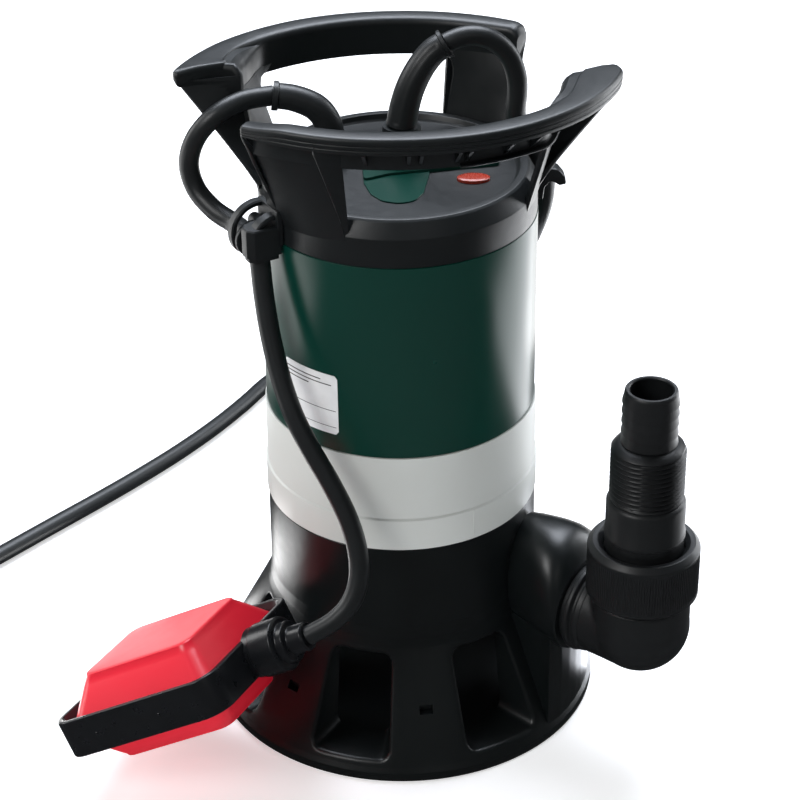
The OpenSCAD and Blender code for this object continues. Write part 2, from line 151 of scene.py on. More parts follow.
steel = surface("steel", (0.55, 0.56, 0.57), (0.66, 0.665, 0.67), 0.22, 0.38, metal=1.0, stretch=(1, 1, 12), bump=0.2)
cast = surface("cast_alloy", (0.42, 0.43, 0.44), (0.52, 0.525, 0.53), 0.42, 0.6, metal=1.0, bump=0.6, grain=900)
iron = surface("iron", (0.2, 0.2, 0.21), (0.3, 0.3, 0.31), 0.35, 0.5, metal=1.0, stretch=(1, 1, 60), bump=0.4)
copper = surface("copper_wire", (0.62, 0.26, 0.12), (0.72, 0.34, 0.18), 0.25, 0.4, metal=1.0, stretch=(1, 1, 30), bump=0.6)
white = surface("white_plastic", (0.74, 0.73, 0.70), (0.80, 0.79, 0.76), 0.35, 0.5, bump=0.15)
badge = surface("badge_red", (0.36, 0.030, 0.014), (0.46, 0.045, 0.020), 0.22, 0.32, bump=0.1, coat=0.5, cloud=300, grain=900)


def label_material():
    m, nt, b = tree("label_white")
    vec = coords(nt)
    nt.links.new(ramp(nt, noise_of(nt, vec, 140, 4), [(0.3, (0.74, 0.75, 0.74)), (0.7, (0.82, 0.83, 0.82))]),
                 b.inputs["Base Color"])
    nt.links.new(ranged(nt, noise_of(nt, vec, 400), 0.28, 0.4), b.inputs["Roughness"])
    bump_of(nt, b, noise_of(nt, vec, 1500), 0.1, 0.00004)
    b.inputs["Coat Weight"].default_value = 0.3
    b.inputs["Coat Roughness"].default_value = 0.2
    return m


label_white = label_material()
ink = surface("label_ink", (0.03, 0.03, 0.032), (0.05, 0.05, 0.052), 0.4, 0.5, bump=0.1)

by_slot = {"black_plastic": black, "black_gloss": black_gloss, "green_plastic": green, "grey_plastic": grey,
           "red_plastic": red, "black_rubber": rubber, "dark_plastic": dark, "steel": steel, "cast_alloy": cast,
           "iron": iron, "copper": copper, "white_plastic": white, "label_white": label_white, "badge_red": badge}
for row in frame["record"]["subparts"]:
    o = frame["nodes"][row["node"]]
    o.data.materials.clear()
    o.data.materials.append(by_slot[row["material_slot"]])


# ---------------------------------------------------------------- mesh helpers (millimetres)
class Solid:
    def __init__(self):
        self.V, self.F = [], []

    def add(self, V, F, T=None):
        b = len(self.V)
        self.V += [tuple(T(v)) if T else tuple(v) for v in V]
        self.F += [tuple(b + i for i in f) for f in F]

    def rows(self, R, ring=True, loop=False, caps=False, T=None):
        n, k = len(R[0]), len(R)
        V = [p for r in R for p in r]
        F = []
        for i in range(k if loop else k - 1):
            for j in range(n if ring else n - 1):
                F.append((i * n + j, i * n + (j + 1) % n, (i + 1) % k * n + (j + 1) % n, (i + 1) % k * n + j))
        if caps:
            F += [tuple(range(n))[::-1], tuple((k - 1) * n + j for j in range(n))]
        self.add(V, F, T)

    def lathe(self, prof, n=160, T=None, relief=None):
        R = []
        for i in range(n):
            t = 2 * pi * i / n
            row = []
            for r, z in prof:
                rr = r + (relief(t, r, z) if relief else 0)
                row.append((rr * cos(t), rr * sin(t), z))
            R.append(row)
        self.rows(R, ring=True, loop=True, T=T)

    def disc_stack(self, prof, n=160, T=None):
        """A solid of revolution from the axis: prof is an open line of (r, z), closed by flat caps."""
        R = [[(r * cos(2 * pi * i / n), r * sin(2 * pi * i / n), z) for i in range(n)] for r, z in prof]
        self.rows(R, caps=True, T=T)

    def prism(self, P, z0, z1, T=None, r=0.0):
        """An upright prism over the plan polygon P with edges eased by r at its top."""
        rings = [[(x, y, z0) for x, y in P], [(x, y, z1 - r) for x, y in P]]
        if r:
            Q = inset(P, r * 0.3)
            rings.append([(x, y, z1 - r * 0.3) for x, y in Q])
            Q = inset(P, r)
            rings.append([(x, y, z1) for x, y in Q])
        self.rows(rings, caps=True, T=T)

    def make(self, name, mat, body, nodes=(), angle=38, solve=None):
        me = bpy.data.meshes.new(name)
        me.from_pydata([(x * MM, y * MM, z * MM) for x, y, z in self.V], [], self.F)
        bm = bmesh.new()
        bm.from_mesh(me)
        bmesh.ops.remove_doubles(bm, verts=bm.verts, dist=2e-6)
        bmesh.ops.dissolve_degenerate(bm, edges=bm.edges, dist=1e-7)
        bmesh.ops.recalc_face_normals(bm, faces=bm.faces)
        bm.to_mesh(me)
        bm.free()
        o = bpy.data.objects.new(name, me)
        scene.collection.objects.link(o)
        if solve:
            solve(o)
        finish_mesh(o, angle)
        o.data.materials.clear()
        o.data.materials.append(mat)
        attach(o, body)
        if nodes:
            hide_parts(*nodes)
        return o


def finish_mesh(o, angle):
    o.data.polygons.foreach_set("use_smooth", [True] * len(o.data.polygons))
    o.data.set_sharp_from_angle(angle=rad(angle))


def apply(o, setup):
    """Adds modifiers by setup(o), then keeps their result as the mesh."""
    setup(o)
    bpy.context.view_layer.update()
    e = o.evaluated_get(bpy.context.evaluated_depsgraph_get())
    me = bpy.data.meshes.new_from_object(e)
    o.modifiers.clear()
    old = o.data
    o.data = me
    bpy.data.meshes.remove(old)


def tool(solid, name="tool"):
    me = bpy.data.meshes.new(name)
    me.from_pydata([(x * MM, y * MM, z * MM) for x, y, z in solid.V], [], solid.F)
    bm = bmesh.new()
    bm.from_mesh(me)
    bmesh.ops.remove_doubles(bm, verts=bm.verts, dist=2e-6)
    bmesh.ops.recalc_face_normals(bm, faces=bm.faces)
    bm.to_mesh(me)
    bm.free()
    o = bpy.data.objects.new(name, me)
    scene.collection.objects.link(o)
    return o


def boolean(o, other, op):
    def setup(x):
        m = x.modifiers.new("b", "BOOLEAN")
        m.operation = op
        m.solver = "EXACT"
        m.object = other
    apply(o, setup)
    bpy.data.objects.remove(other)


def area2(P):
    return sum(P[i - 1][0] * P[i][1] - P[i][0] * P[i - 1][1] for i in range(len(P)))


def inset(P, d):
    """The closed plan polygon P moved inwards by d."""
    s = 1 if area2(P) > 0 else -1
    out = []
    n = len(P)
    for i in range(n):
        a, b, c = Vector(P[i - 1]), Vector(P[i]), Vector(P[(i + 1) % n])
        u, v = (b - a).normalized(), (c - b).normalized()
        nu, nv = Vector((-u.y, u.x)), Vector((-v.y, v.x))
        m = nu + nv
        m = m / max(0.35, m.dot(m) / 2) / 1.0
        q = b + m * 0.5 * 2 * d * s * 0.5 * 2 / 2
        out.append((q.x, q.y))
    return out


def fillet(P, r, n=4, closed=True):
    """Rounds the corners of the line P. r is one radius or one for each corner."""
    out = []
    k = len(P)
    R = r if isinstance(r, (list, tuple)) else [r] * k
    for i in range(k):
        if not closed and i in (0, k - 1) or R[i] <= 0:
            out.append(tuple(P[i]))
            continue
        b = Vector(P[i])
        a, c = Vector(P[i - 1]), Vector(P[(i + 1) % k])
        u, v = a - b, c - b
        lu, lv = u.length, v.length
        if lu < 1e-6 or lv < 1e-6:
            out.append(tuple(b))
            continue
        u, v = u / lu, v / lv
        ang = math.acos(max(-1, min(1, u.dot(v))))
        if ang > pi - 0.02:
            out.append(tuple(b))
            continue
        d = min(R[i] / math.tan(ang / 2), lu * 0.49, lv * 0.49)
        p, q = b + u * d, b + v * d
        for j in range(n + 1):
            t = j / n
            out.append(tuple(p * (1 - t) ** 2 + b * 2 * t * (1 - t) + q * t ** 2))
    return out


def interp(x, xs, ys):
    return float(np.interp(x, xs, ys))


def polar(a, r, z=0.0):
    return (r * cos(rad(a)), r * sin(rad(a)), z)


def crom(P, m):
    """Smooth points through P, as in the construction model."""
    P = [np.array(p, float) for p in P]
    out = []
    for i in range(len(P) - 1):
        a, b, c, d = P[max(i - 1, 0)], P[i], P[i + 1], P[min(i + 2, len(P) - 1)]
        for k in range(m):
            t = k / m
            out.append(0.5 * (2 * b + (c - a) * t + (2 * a - 5 * b + 4 * c - d) * t * t
                              + (3 * b - a - 3 * c + d) * t ** 3))
    out.append(P[-1])
    return out


def frames(S):
    S = [Vector(p) for p in S]
    T = [(S[min(i + 1, len(S) - 1)] - S[max(i - 1, 0)]).normalized() for i in range(len(S))]
    N = [T[0].orthogonal().normalized()]
    for i in range(1, len(S)):
        N.append((N[-1] - T[i] * N[-1].dot(T[i])).normalized())
    return S, T, N


def tube(solid, S, radius, n=20):
    """radius is a number or a function of the share of the length."""
    S, T, N = frames(S)
    L = len(S)
    R = []
    for i in range(L):
        B = T[i].cross(N[i])
        r = radius(i / (L - 1)) if callable(radius) else radius
        R.append([tuple(S[i] + N[i] * r * cos(2 * pi * j / n) + B * r * sin(2 * pi * j / n)) for j in range(n)])
    solid.rows(R, caps=True)


def along(p, d, solid, prof, n=96):
    """A turned piece about the line through p in direction d; prof is an open line of (r, distance)."""
    p, d = Vector(p), Vector(d).normalized()
    a = d.orthogonal().normalized()
    b = d.cross(a)
    R = [[tuple(p + d * h + a * r * cos(2 * pi * i / n) + b * r * sin(2 * pi * i / n)) for i in range(n)]
         for r, h in prof]
    solid.rows(R, caps=True)


# ---------------------------------------------------------------- strainer base
WP, W0, WA = 48.8, -19.5, 24.4
WZ0, WZ1 = 9.5, 53.0


def r_cone(z):
    return interp(z, [6.5, 56], [90.5, 64.5])


def r_inner(z):
    return interp(z, [6.5, 56], [66.5, 61.0])


def window_outline(M, N):
    """Rounded outline of a window in (degrees, z), starting at the bottom left, in four sides."""
    h = WA / 2
    cr_mm, rz = 4.6, 4.1
    a_lo, a_hi = math.degrees(cr_mm / r_cone(WZ0 + 2)), math.degrees(cr_mm / r_cone(WZ1 - 2))
    corners = [(-h + a_lo, WZ0 + rz, a_lo, 180), (h - a_lo, WZ0 + rz, a_lo, 270),
               (h - a_hi, WZ1 - rz, a_hi, 0), (-h + a_hi, WZ1 - rz, a_hi, 90)]
    arcs = [[(cx + ra * cos(rad(s + 90 * i / 24)), cz + rz * sin(rad(s + 90 * i / 24))) for i in range(25)]
            for cx, cz, ra, s in corners]
    sides = []
    for k in range(4):
        line = arcs[k][12:] + arcs[(k + 1) % 4][:13]
        mm = [(x * rad(1) * r_cone(z), z / 0.885) for x, z in line]
        acc = [0]
        for i in range(1, len(mm)):
            acc.append(acc[-1] + math.dist(mm[i], mm[i - 1]))
        cnt = M if k in (0, 2) else N
        want = [acc[-1] * i / cnt for i in range(cnt)]
        sides.append([(interp(w, acc, [p[0] for p in line]), interp(w, acc, [p[1] for p in line])) for w in want])
    return [p for s in sides for p in s]


def frame_outline(M, N):
    h = WP / 2
    return ([(-h + WP * i / M, 6.5) for i in range(M)] + [(h, 6.5 + 49.5 * i / N) for i in range(N)]
            + [(h - WP * i / M, 56.0) for i in range(M)] + [(-h, 56.0 - 49.5 * i / N) for i in range(N)])


def build_base():
    s = Solid()
    M, N = 24, 16
    hole, outer = window_outline(M, N), frame_outline(M, N)
    n = len(hole)
    normals = []
    for i in range(n):
        a, b = hole[i - 1], hole[(i + 1) % n]
        rr = rad(1) * r_cone(hole[i][1])
        d = Vector(((b[0] - a[0]) * rr, (b[1] - a[1]) / 0.885)).normalized()
        normals.append((d.y / rr, -d.x * 0.885))
    fr = 1.7
    for k in range(7):
        c = W0 - WP * k
        rings = []
        for g in (0, 0.25, 0.5, 0.75):
            ring = []
            for i in range(n):
                hx, hz = hole[i][0] + normals[i][0] * fr, hole[i][1] + normals[i][1] * fr
                x, z = outer[i][0] * (1 - g) + hx * g, outer[i][1] * (1 - g) + hz * g
                ring.append(polar(c + x, r_cone(z), z))
            rings.append(ring)
        for q in range(6):
            f = q / 5 * pi / 2
            ring = []
            for i in range(n):
                e = fr * (1 - sin(f))
                x, z = hole[i][0] + normals[i][0] * e, hole[i][1] + normals[i][1] * e
                ring.append(polar(c + x, r_cone(z) - fr * (1 - cos(f)), z))
            rings.append(ring)
        for q in (0.33, 0.66, 1.0):
            ring = []
            for i in range(n):
                x, z = hole[i]
                r = (r_cone(z) - fr) * (1 - q) + r_inner(z) * q
                ring.append(polar(c + x * (1 - 0.05 * q), r, z))
            rings.append(ring)
        for q in (0.5, 1.0):
            ring = []
            for i in range(n):
                x = hole[i][0] * 0.95 * (1 - q) + outer[i][0] * q
                z = hole[i][1] * (1 - q) + outer[i][1] * q
                ring.append(polar(c + x, r_inner(z), z))
            rings.append(ring)
        s.rows(rings)
    # the plain stretch at the outlet
    a0 = W0 + WP / 2
    a1 = W0 - WP * 6.5 + 360
    G = 9
    zs = [6.5 + 49.5 * i / N for i in range(N + 1)]
    ga = [a0 + (a1 - a0) * i / G for i in range(G + 1)]
    s.rows([[polar(a, r_cone(z), z) for a in ga] for z in zs], ring=False)
    s.rows([[polar(a, r_inner(z), z) for a in ga] for z in zs], ring=False)
    ang = []
    for k in range(7):
        ang += [W0 - WP * k - WP / 2 + WP * i / M for i in range(M)]
    ang = sorted((a - W0) % 360 for a in ang + [a for a in ga[:-1]])
    ang = sorted(set(round(a, 6) for a in ang))
    top = fillet([(64.5, 56), (63.3, 60), (62.7, 66), (62.4, 108.2), (61.6, 109), (59.6, 109), (59.6, 60), (61.0, 56)],
                 [0, 2, 6, 0.5, 0.4, 0.4, 2, 0], 4, closed=False)
    s.rows([[polar(a + W0, r, z) for a in ang] for r, z in top])
    low = fillet([(90.5, 6.5), (92, 4.2), (92, 0.4), (91.6, 0), (88.6, 0), (88.6, 3.5), (66.5, 3.5), (66.5, 6.5)],
                 [0, 1.5, 0.4, 0.3, 0.3, 0.3, 0.3, 0], 3, closed=False)
    s.rows([[polar(a + W0, r, z) for a in ang] for r, z in low])

    def solve(o):
        cut = Solid()
        for k in range(6):
            a = W0 - WP * (k + 0.5)
            ca, sa = cos(rad(a)), sin(rad(a))

            def T(p, ca=ca, sa=sa):
                return (p[0] * ca - p[1] * sa, p[0] * sa + p[1] * ca, p[2])
            cut.prism([(60, -3.1), (84, -3.1), (84, 3.1), (60, 3.1)], 28.3, 32.1, T)
        boolean(o, tool(cut), "DIFFERENCE")
        h = Solid()
        R = []
        for x, yc, zc, a, b, ex in ((60, 16.6, 74, 16.6, 27.6, 2.3), (64, 16.8, 74, 17.6, 28.2, 2.35), (70, 17, 74, 19.4, 28.5, 2.4),
                                    (76, 17, 74, 21.3, 28.6, 2.4), (81, 17, 73.7, 22.8, 28.3, 2.4), (85, 16.9, 73, 23.5, 27.8, 2.35),
                                    (88.5, 16.6, 71.8, 23.9, 26.8, 2.25), (91, 16.3, 70.4, 23.9, 25.6, 2.15),
                                    (92.6, 16.1, 69, 23.6, 24.4, 2.05), (93.6, 16, 68.2, 23.4, 23.5, 2), (94.2, 16, 68, 22.9, 22.9, 2)):
            ring = []
            for i in range(72):
                t = 2 * pi * i / 72
                cc, ss = cos(t), sin(t)
                ring.append((x, yc + a * math.copysign(abs(cc) ** (2 / ex), cc), zc + b * math.copysign(abs(ss) ** (2 / ex), ss)))
            R.append(ring)
        h.rows(R, caps=True)
        boolean(o, tool(h), "UNION")
        p = Solid()
        P = [(61.5, 1.0), (89.9, -4.4)] + [polar(a, 90.6 if 0 < a < 30 else 90.2)[:2] for a in (-1, 3, 8, 13, 18, 23, 28, 32)] + [(61.5, 32)]
        p.prism(P, 2.0, 58)
        boolean(o, tool(p), "UNION")
    return s.make("base_moulding", black, "housing", ["strainer_base"], angle=32, solve=solve)


build_base()

# ---------------------------------------------------------------- collar ring and jacket
s = Solid()
prof = fillet([(62.95, 109.0), (62.95, 124.4), (62.25, 125.3), (62.1, 156.5), (59.0, 156.5), (59.0, 160), (57.6, 160), (57.6, 152), (59.6, 150),
               (59.6, 109.0)], [0.5, 0.3, 0.3, 0.5, 0.2, 0.2, 0.2, 0.2, 0.2, 0.3], 3)
s.lathe(prof, 192)
for a in (-20.3,):
    s.rows([[polar(a - 0.55, 62.4, z), polar(a - 0.5, 63.15, z), polar(a + 0.05, 63.15, z), polar(a + 0.1, 62.4, z)]
            for z in (111.2, 111.6, 124.0, 124.4)], caps=True)
s.make("collar_moulding", grey, "housing", ["collar_ring"], angle=30)

s = Solid()
prof = fillet([(61.5, 156.5), (61.5, 249.5), (58.9, 249.5), (58.9, 156.5)], 0.5, 3)
s.lathe(prof, 192)
s.make("jacket_shell", green, "housing", ["motor_jacket"], angle=30)

# sticker: a plain sheet with rule lines, no words
s = Solid()
A0, A1, Z0, Z1 = -106.0, -77.5, 165.0, 194.5


def on_jacket(P, r0, r1):
    return [[polar(x, r0, z) for x, z in P], [polar(x, r1, z) for x, z in P]]


def patch(solid, a0, a1, z0, z1, r0, r1, round_mm=0.0):
    rr = math.degrees(round_mm / 61.6)
    P = fillet([(a0, z0), (a1, z0), (a1, z1), (a0, z1)], 0.0001, 1)
    if round_mm:
        P = []
        for cx, cz, st in ((a1 - rr, z0 + round_mm, 270), (a1 - rr, z1 - round_mm, 0), (a0 + rr, z1 - round_mm, 90),
                           (a0 + rr, z0 + round_mm, 180)):
            for i in range(7):
                t = rad(st + 15 * i)
                P.append((cx + rr * cos(t), cz + round_mm * sin(t)))
    # strips, so that the sheet follows the round wall
    n = 24
    top, bottom = [], []
    xs = [a0 + (a1 - a0) * i / n for i in range(n + 1)]
    for x in xs:
        lo, hi = z0, z1
        if round_mm:
            for side in (a0, a1):
                d = abs(x - side)
                if d < rr:
                    h = round_mm * (1 - math.sqrt(max(0, 1 - (1 - d / rr) ** 2)))
                    lo, hi = z0 + h, z1 - h
        bottom.append((x, lo))
        top.append((x, hi))
    R = []
    for i in range(n + 1):
        R.append([polar(xs[i], r0, bottom[i][1]), polar(xs[i], r1, bottom[i][1]), polar(xs[i], r1, top[i][1]), polar(xs[i], r0, top[i][1])])
    solid.rows(R, caps=True)


patch(s, A0, A1, Z0, Z1, 61.45, 61.66, 1.6)
s.make("plain_sticker", label_white, "housing", ["rating_label"], angle=30)
s = Solid()
for i, (f0, f1) in enumerate(((0.04, 0.72), (0.04, 0.9), (0.04, 0.5))):
    z = Z1 - 3.2 - 1.9 * i
    patch(s, A0 + (A1 - A0) * f0, A0 + (A1 - A0) * f1, z - 0.25, z + 0.25, 61.62, 61.70)
patch(s, A0 + 1.0, A1 - 1.0, Z0 + 11.6, Z0 + 11.9, 61.62, 61.70)
patch(s, A0 + 1.0, A1 - 1.0, Z0 + 3.4, Z0 + 3.65, 61.62, 61.70)
s.make("sticker_rules", ink, "housing")

# ---------------------------------------------------------------- cap with the two bows
BD, BO = -50.6, 31.0
inlay_uv = {}


def smooth01(x):
    x = max(0.0, min(1.0, x))
    return x * x * (3 - 2 * x)


def corner(d, rr):
    """How far a rounded corner of radius rr has moved in, d before its end."""
    return rr * (1 - math.sqrt(max(0.0, 1 - (1 - max(0.0, d) / rr) ** 2))) if d < rr else 0.0


class Bow:
    def __init__(self, turn, t_start, t_end, r_end, lift_end):
        self.dir = BD + turn
        self.c = (-BO * cos(rad(self.dir)), -BO * sin(rad(self.dir)))
        self.t0, self.t1, self.r1, self.e0, self.back = t_start, t_end, r_end, lift_end, turn == 180
        self.slant, self.rs = (7.5, 99.5) if self.back else (6.0, 95.5)

    def P(self, t, r, z):
        # the far end is cut at a slant
        k = smooth01((t - (self.t1 - 15)) / 15)
        t -= k * self.slant * max(0.0, min(1.5, (self.rs - r) / 10))
        a = rad(self.dir + t)
        return (self.c[0] + r * cos(a), self.c[1] + r * sin(a), z)

    def S(self, a, r, z):
        return polar(self.dir - BD + a, r, z)

    def rout(self, t):
        r = interp(t, [-40, -25, 0, 25, 50, 66, 74], [103.0, 103.0, 102.4, 103.4, 103.4, 102.6, 102.0])
        return r - corner((self.t1 - t) * rad(1) * 102, self.r1) - corner((t - self.t0) * rad(1) * 102, 2.2)

    def rin(self, t):
        return interp(t, [-40, -34, -28, -20, 0, 38, 49, 52, 55, 60, 64, 74],
                      [94.6, 93.8, 92.8, 92.2, 91.8, 92.4, 92.2, 91.4, 89.8, 87.2, 86.0, 85.8])

    def wing(self, t):
        return smooth01((t - 38.5) / 13)

    def rweb(self, t):
        return self.rin(t) - WL * self.wing(t)

    def ztop(self, t):
        z = 312.8 if self.back else 312.6 - 2.6 * smooth01((-26 - t) / 14)
        return z - corner((t - self.t0) * rad(1) * 102, self.e0) * 0.8 - corner((self.t1 - t) * rad(1) * 102, 3.0)


ZB = 295.8  # lower edge of the inner wall
ZR = 305.3  # lower edge of the rim
TH = 2.7
WL = 8.0  # how far the wing leans in at its foot


def sheet_profile(b, t):
    """Outer skin of the grip at arc angle t: from the rim's lower edge over the top to the inner wall's lower edge."""
    ro, ri, zt, w = b.rout(t), b.rin(t), b.ztop(t), b.wing(t)
    d = ro - ri
    rr, ra = min(1.8, d * 0.3), min(3.0, d * 0.3)
    h = zt - rr - ZR
    out = [(ro - 0.9, ZR), (ro - 0.25, ZR + 0.2), (ro, ZR + 0.9), (ro, ZR + h * 0.30), (ro - 0.28, ZR + h * 0.36), (ro - 0.28, ZR + h * 0.42),
           (ro, ZR + h * 0.48), (ro, ZR + h * 0.66), (ro - 0.28, ZR + h * 0.72), (ro - 0.28, ZR + h * 0.78), (ro, ZR + h * 0.84)]
    for i in range(5):
        f = i / 4 * pi / 2
        out.append((ro - rr * (1 - cos(f)), zt - rr * (1 - sin(f))))
    out.append(((ro + ri) / 2, zt + 0.35))
    for i in range(5):
        f = i / 4 * pi / 2
        out.append((ri + ra * (1 - sin(f)) * (1 - 0.6 * w), zt - ra * (1 - cos(f)) * (1 - 0.75 * w)))
    k = WL * w
    z1 = zt - 3.2 * (1 - w) - 2.2 * w
    out += [(ri - k * 0.45, zt - 3.2 * (1 - w) - 0.9 * w), (ri - k * 0.72, z1 - 0.3), (ri - k * 0.86, z1 - 2.2), (ri - k * 0.93, z1 - 4.4),
            (ri - k * 0.97, (z1 - 4 + ZB) / 2), (ri - k, ZB)]
    e = smooth01((t - (b.t1 - 8)) / 8) * (0.75 if b.back else 0.3)
    return [(r - e * max(0.0, zt - 3.6 - z) if r > ro - 1.2 else r, z) for r, z in out]


def grip_solid(s, b):
    N = 100
    R = []
    ta, tb = b.t0 + 1.4, b.t1 - 5.4
    for i in range(N + 1):
        t = ta + (tb - ta) * i / N
        prof = sheet_profile(b, t)
        ro, ri, rw, zt, w = b.rout(t), b.rin(t), b.rweb(t), b.ztop(t), b.wing(t)
        inner = [(rw + TH, ZB), (rw + TH, zt - 9.5), (rw + (TH + 0.4) * (1 - w) + 5.5 * w, zt - 4.2 - 3.6 * w), (ri + TH + 1.5 + 2 * w, zt - 3.0 - 1.5 * w),
                 (ro - TH - 0.8, zt - 3.0), (ro - TH, zt - 3.8), (ro - TH - 6.0 * smooth01((t - (b.t1 - 9)) / 9), ZR)]
        R.append([b.P(t, r, z) for r, z in prof + inner])
    s.rows(R, caps=True)
    # closed ends, with their rounded corners
    for ta, tb, low in ((b.t0, b.t0 + 1.5, 0), (b.t1 - 5.5, b.t1, 1)):
        R = []
        for i in range(15):
            f = i / 14
            f = f ** 2 if not low else 1 - (1 - f) ** 2
            t = ta + (tb - ta) * f
            prof = sheet_profile(b, t)
            R.append([b.P(t, r, z) for r, z in prof])
        s.rows(R, caps=True)


def slab(s, outer, inner, half, rounded=True):
    """A plate between two lines of points, half thick on each side, with its outer edge rounded."""
    R = []
    for o, i in zip(outer, inner):
        o, i = Vector(o), Vector(i)
        R.append((o, i))
    rows = []
    for k, (o, i) in enumerate(R):
        o2, i2 = R[min(k + 1, len(R) - 1)]
        o1, i1 = R[max(k - 1, 0)]
        run = ((o2 + i2) - (o1 + i1)).normalized()
        across = (o - i)
        n = across.cross(run).normalized() * half
        u = across.normalized() * half
        if rounded:
            ring = [i - n, o - u - n, o - u * 0.29 - n * 0.71, o, o - u * 0.29 + n * 0.71, o - u + n, i + n]
        else:
            ring = [i - n, o - n, o + n, i + n]
        rows.append([tuple(p) for p in ring])
    s.rows(rows, caps=True)


def leg_solid(s, b, a0, a1, t0, t1, fil0, fil1):
    """The web of a leg, from the grip's inner wall to the skirt, with rounded corners beside the hand opening."""
    N, K = 20, 14
    half = TH / 2

    def mid(f, w):
        t = t0 + (t1 - t0) * f
        a = a0 + (a1 - a0) * f
        g = 0.0
        if w < 0.32:
            g = 1 - math.sqrt(max(0, 1 - (1 - w / 0.32) ** 2))
        t += (fil1 * g * f ** 3 if f > 0 else 0) - fil0 * g * (1 - f) ** 3
        top = Vector(b.P(t, b.rweb(t) + half, ZB + 3.0))
        low = Vector(b.S(a, 59.4, 257.0))
        p = top.lerp(low, w)
        return p
    G = [[mid(i / N, k / K) for i in range(N + 1)] for k in range(K + 1)]
    front, back = [], []
    for k in range(K + 1):
        fr_, bk_ = [], []
        for i in range(N + 1):
            du = G[k][min(i + 1, N)] - G[k][max(i - 1, 0)]
            dv = G[min(k + 1, K)][i] - G[max(k - 1, 0)][i]
            n = du.cross(dv).normalized() * half
            fr_.append(G[k][i] + n)
            bk_.append(G[k][i] - n)
        front.append(fr_)
        back.append(bk_)
    rows = []
    for k in range(K + 1):
        row = [tuple(p) for p in front[k]]
        e = (front[k][-1] + back[k][-1]) / 2 + (G[k][-1] - G[k][-2]).normalized() * half * 0.8
        row.append(tuple(e))
        row += [tuple(p) for p in back[k][::-1]]
        e = (front[k][0] + back[k][0]) / 2 + (G[k][0] - G[k][1]).normalized() * half * 0.8
        row.append(tuple(e))
        rows.append(row)
    s.rows(rows, caps=True)


def flange(s, b, t_out, t_in, a_out, a_in, z_top, half=1.25, steps=24, r_edge=102.6, straight=False, r_foot=60.4):
    """A side plate of a leg: its outer edge runs from the rim to the skirt."""
    outer, inner = [], []
    for k in range(steps + 1):
        w = k / steps
        rim = Vector(b.P(t_out, r_edge, z_top))
        knee = Vector(b.P(t_out, r_edge, ZR - 0.4))
        foot = Vector(b.S(a_out, r_foot, 265.8))
        if straight:
            o = rim.lerp(foot, w)
        else:
            o = rim.lerp(knee, w / 0.2) if w < 0.2 else knee.lerp(foot, (w - 0.2) / 0.8)
        top = Vector(b.P(t_in, b.rweb(t_in) + 1.6, min(z_top, ZR + 2)))
        bend = Vector(b.P(t_in, b.rweb(t_in) + 1.6, ZB))
        low = Vector(b.S(a_in, 58.6, 258.5))
        i = top.lerp(bend, w / 0.3) if w < 0.3 else bend.lerp(low, (w - 0.3) / 0.7)
        outer.append(o)
        inner.append(i)
    slab(s, outer, inner, half)


def rib(s, b, t, half=0.75, z_in=None):
    zi = ZB + 0.6 if z_in is None else z_in
    ri = b.rweb(t) + 1.5
    ro = b.rout(t) - 1.0
    zt = b.ztop(t) - 1.6
    tw = math.degrees(half / 97)
    line = [(b.rin(t) + 3.5, zt - 1.6), (ro, zt - 1.6), (ro, zt - 6.2), (ri, zi), (ri, zt - 9.0)]
    ring0 = [b.P(t - tw, r, z) for r, z in line]
    ring1 = [b.P(t + tw, r, z) for r, z in line]
    s.rows([ring0, ring1], caps=True)


def bead(s, b, t0, t1, z, depth=2.6, half=0.8):
    """A lip that stands out from the lower edge of the inner wall."""
    R = []
    for i in range(41):
        t = t0 + (t1 - t0) * i / 40
        ri = b.rweb(t) + TH - 0.4
        R.append([b.P(t, ri, z - half), b.P(t, ri + depth, z - half * 0.6), b.P(t, ri + depth + 0.4, z), b.P(t, ri + depth, z + half * 0.6),
                  b.P(t, ri, z + half)])
    s.rows(R, caps=True)


def build_cap():
    s = Solid()
    prof = fillet([(61.2, 249.5), (61.2, 262.6), (57.6, 269.2), (56.6, 270.1), (53.4, 270.1), (52.6, 268.0), (51.5, 267.0), (0.01, 267.0),
                   (0.01, 264.0), (57.4, 264.0), (57.4, 250.2), (58.0, 249.5)],
                  [0.4, 1.6, 1.2, 0.7, 0.6, 0.6, 0.5, 0, 0, 0.5, 0.3, 0.2], 4)
    s.lathe(prof, 192)
    # skirt lip below, inside the jacket
    for turn, t0, t1, r1, e0 in ((0, -39.6, 75.0, 9.0, 1.5), (180, -35.2, 70.5, 3.0, 6.0)):
        b = Bow(turn, t0, t1, r1, e0)
        grip_solid(s, b)
        leg_solid(s, b, -115, -72, t0 + 1.2, -18, 0, 7)
        leg_solid(s, b, 8 if b.back else 13, 46 if b.back else 22, 45.0, t1 - 1.6, 9, 0)
        flange(s, b, t0 + 0.5, t0 + 0.9, -105, -114, ZR + 3.0, r_edge=102.8 if b.back else 102.2, half=0.8, r_foot=62.6)
        flange(s, b, -20, -14.5, -73.5, -71.5, ZR + 4, half=0.9)
        if b.back:
            flange(s, b, t1 - 1.5, t1 - 1.4, 50, 46, ZR + 2.0, r_edge=101.2, straight=True)
        else:
            flange(s, b, t1 - 6.0, t1 - 1.6, 22, 22, ZR + 2.0, r_edge=101.6)
        for t in (-8.3, 2.2, 5.2, 14.2, 16.8, 27.2, 35.2, 44.5, 53):
            rib(s, b, t)
        bead(s, b, 15, 66, ZB + 0.4)
    o = s.make("cap_moulding", black_cap, "housing", ["handle_cap"], angle=34)
    return o


build_cap()


# green inlay on the cap and its lobe
def uv_plan(u, l):
    cu, su = cos(rad(BD)), sin(rad(BD))
    return (u * cu - l * su, u * su + l * cu)


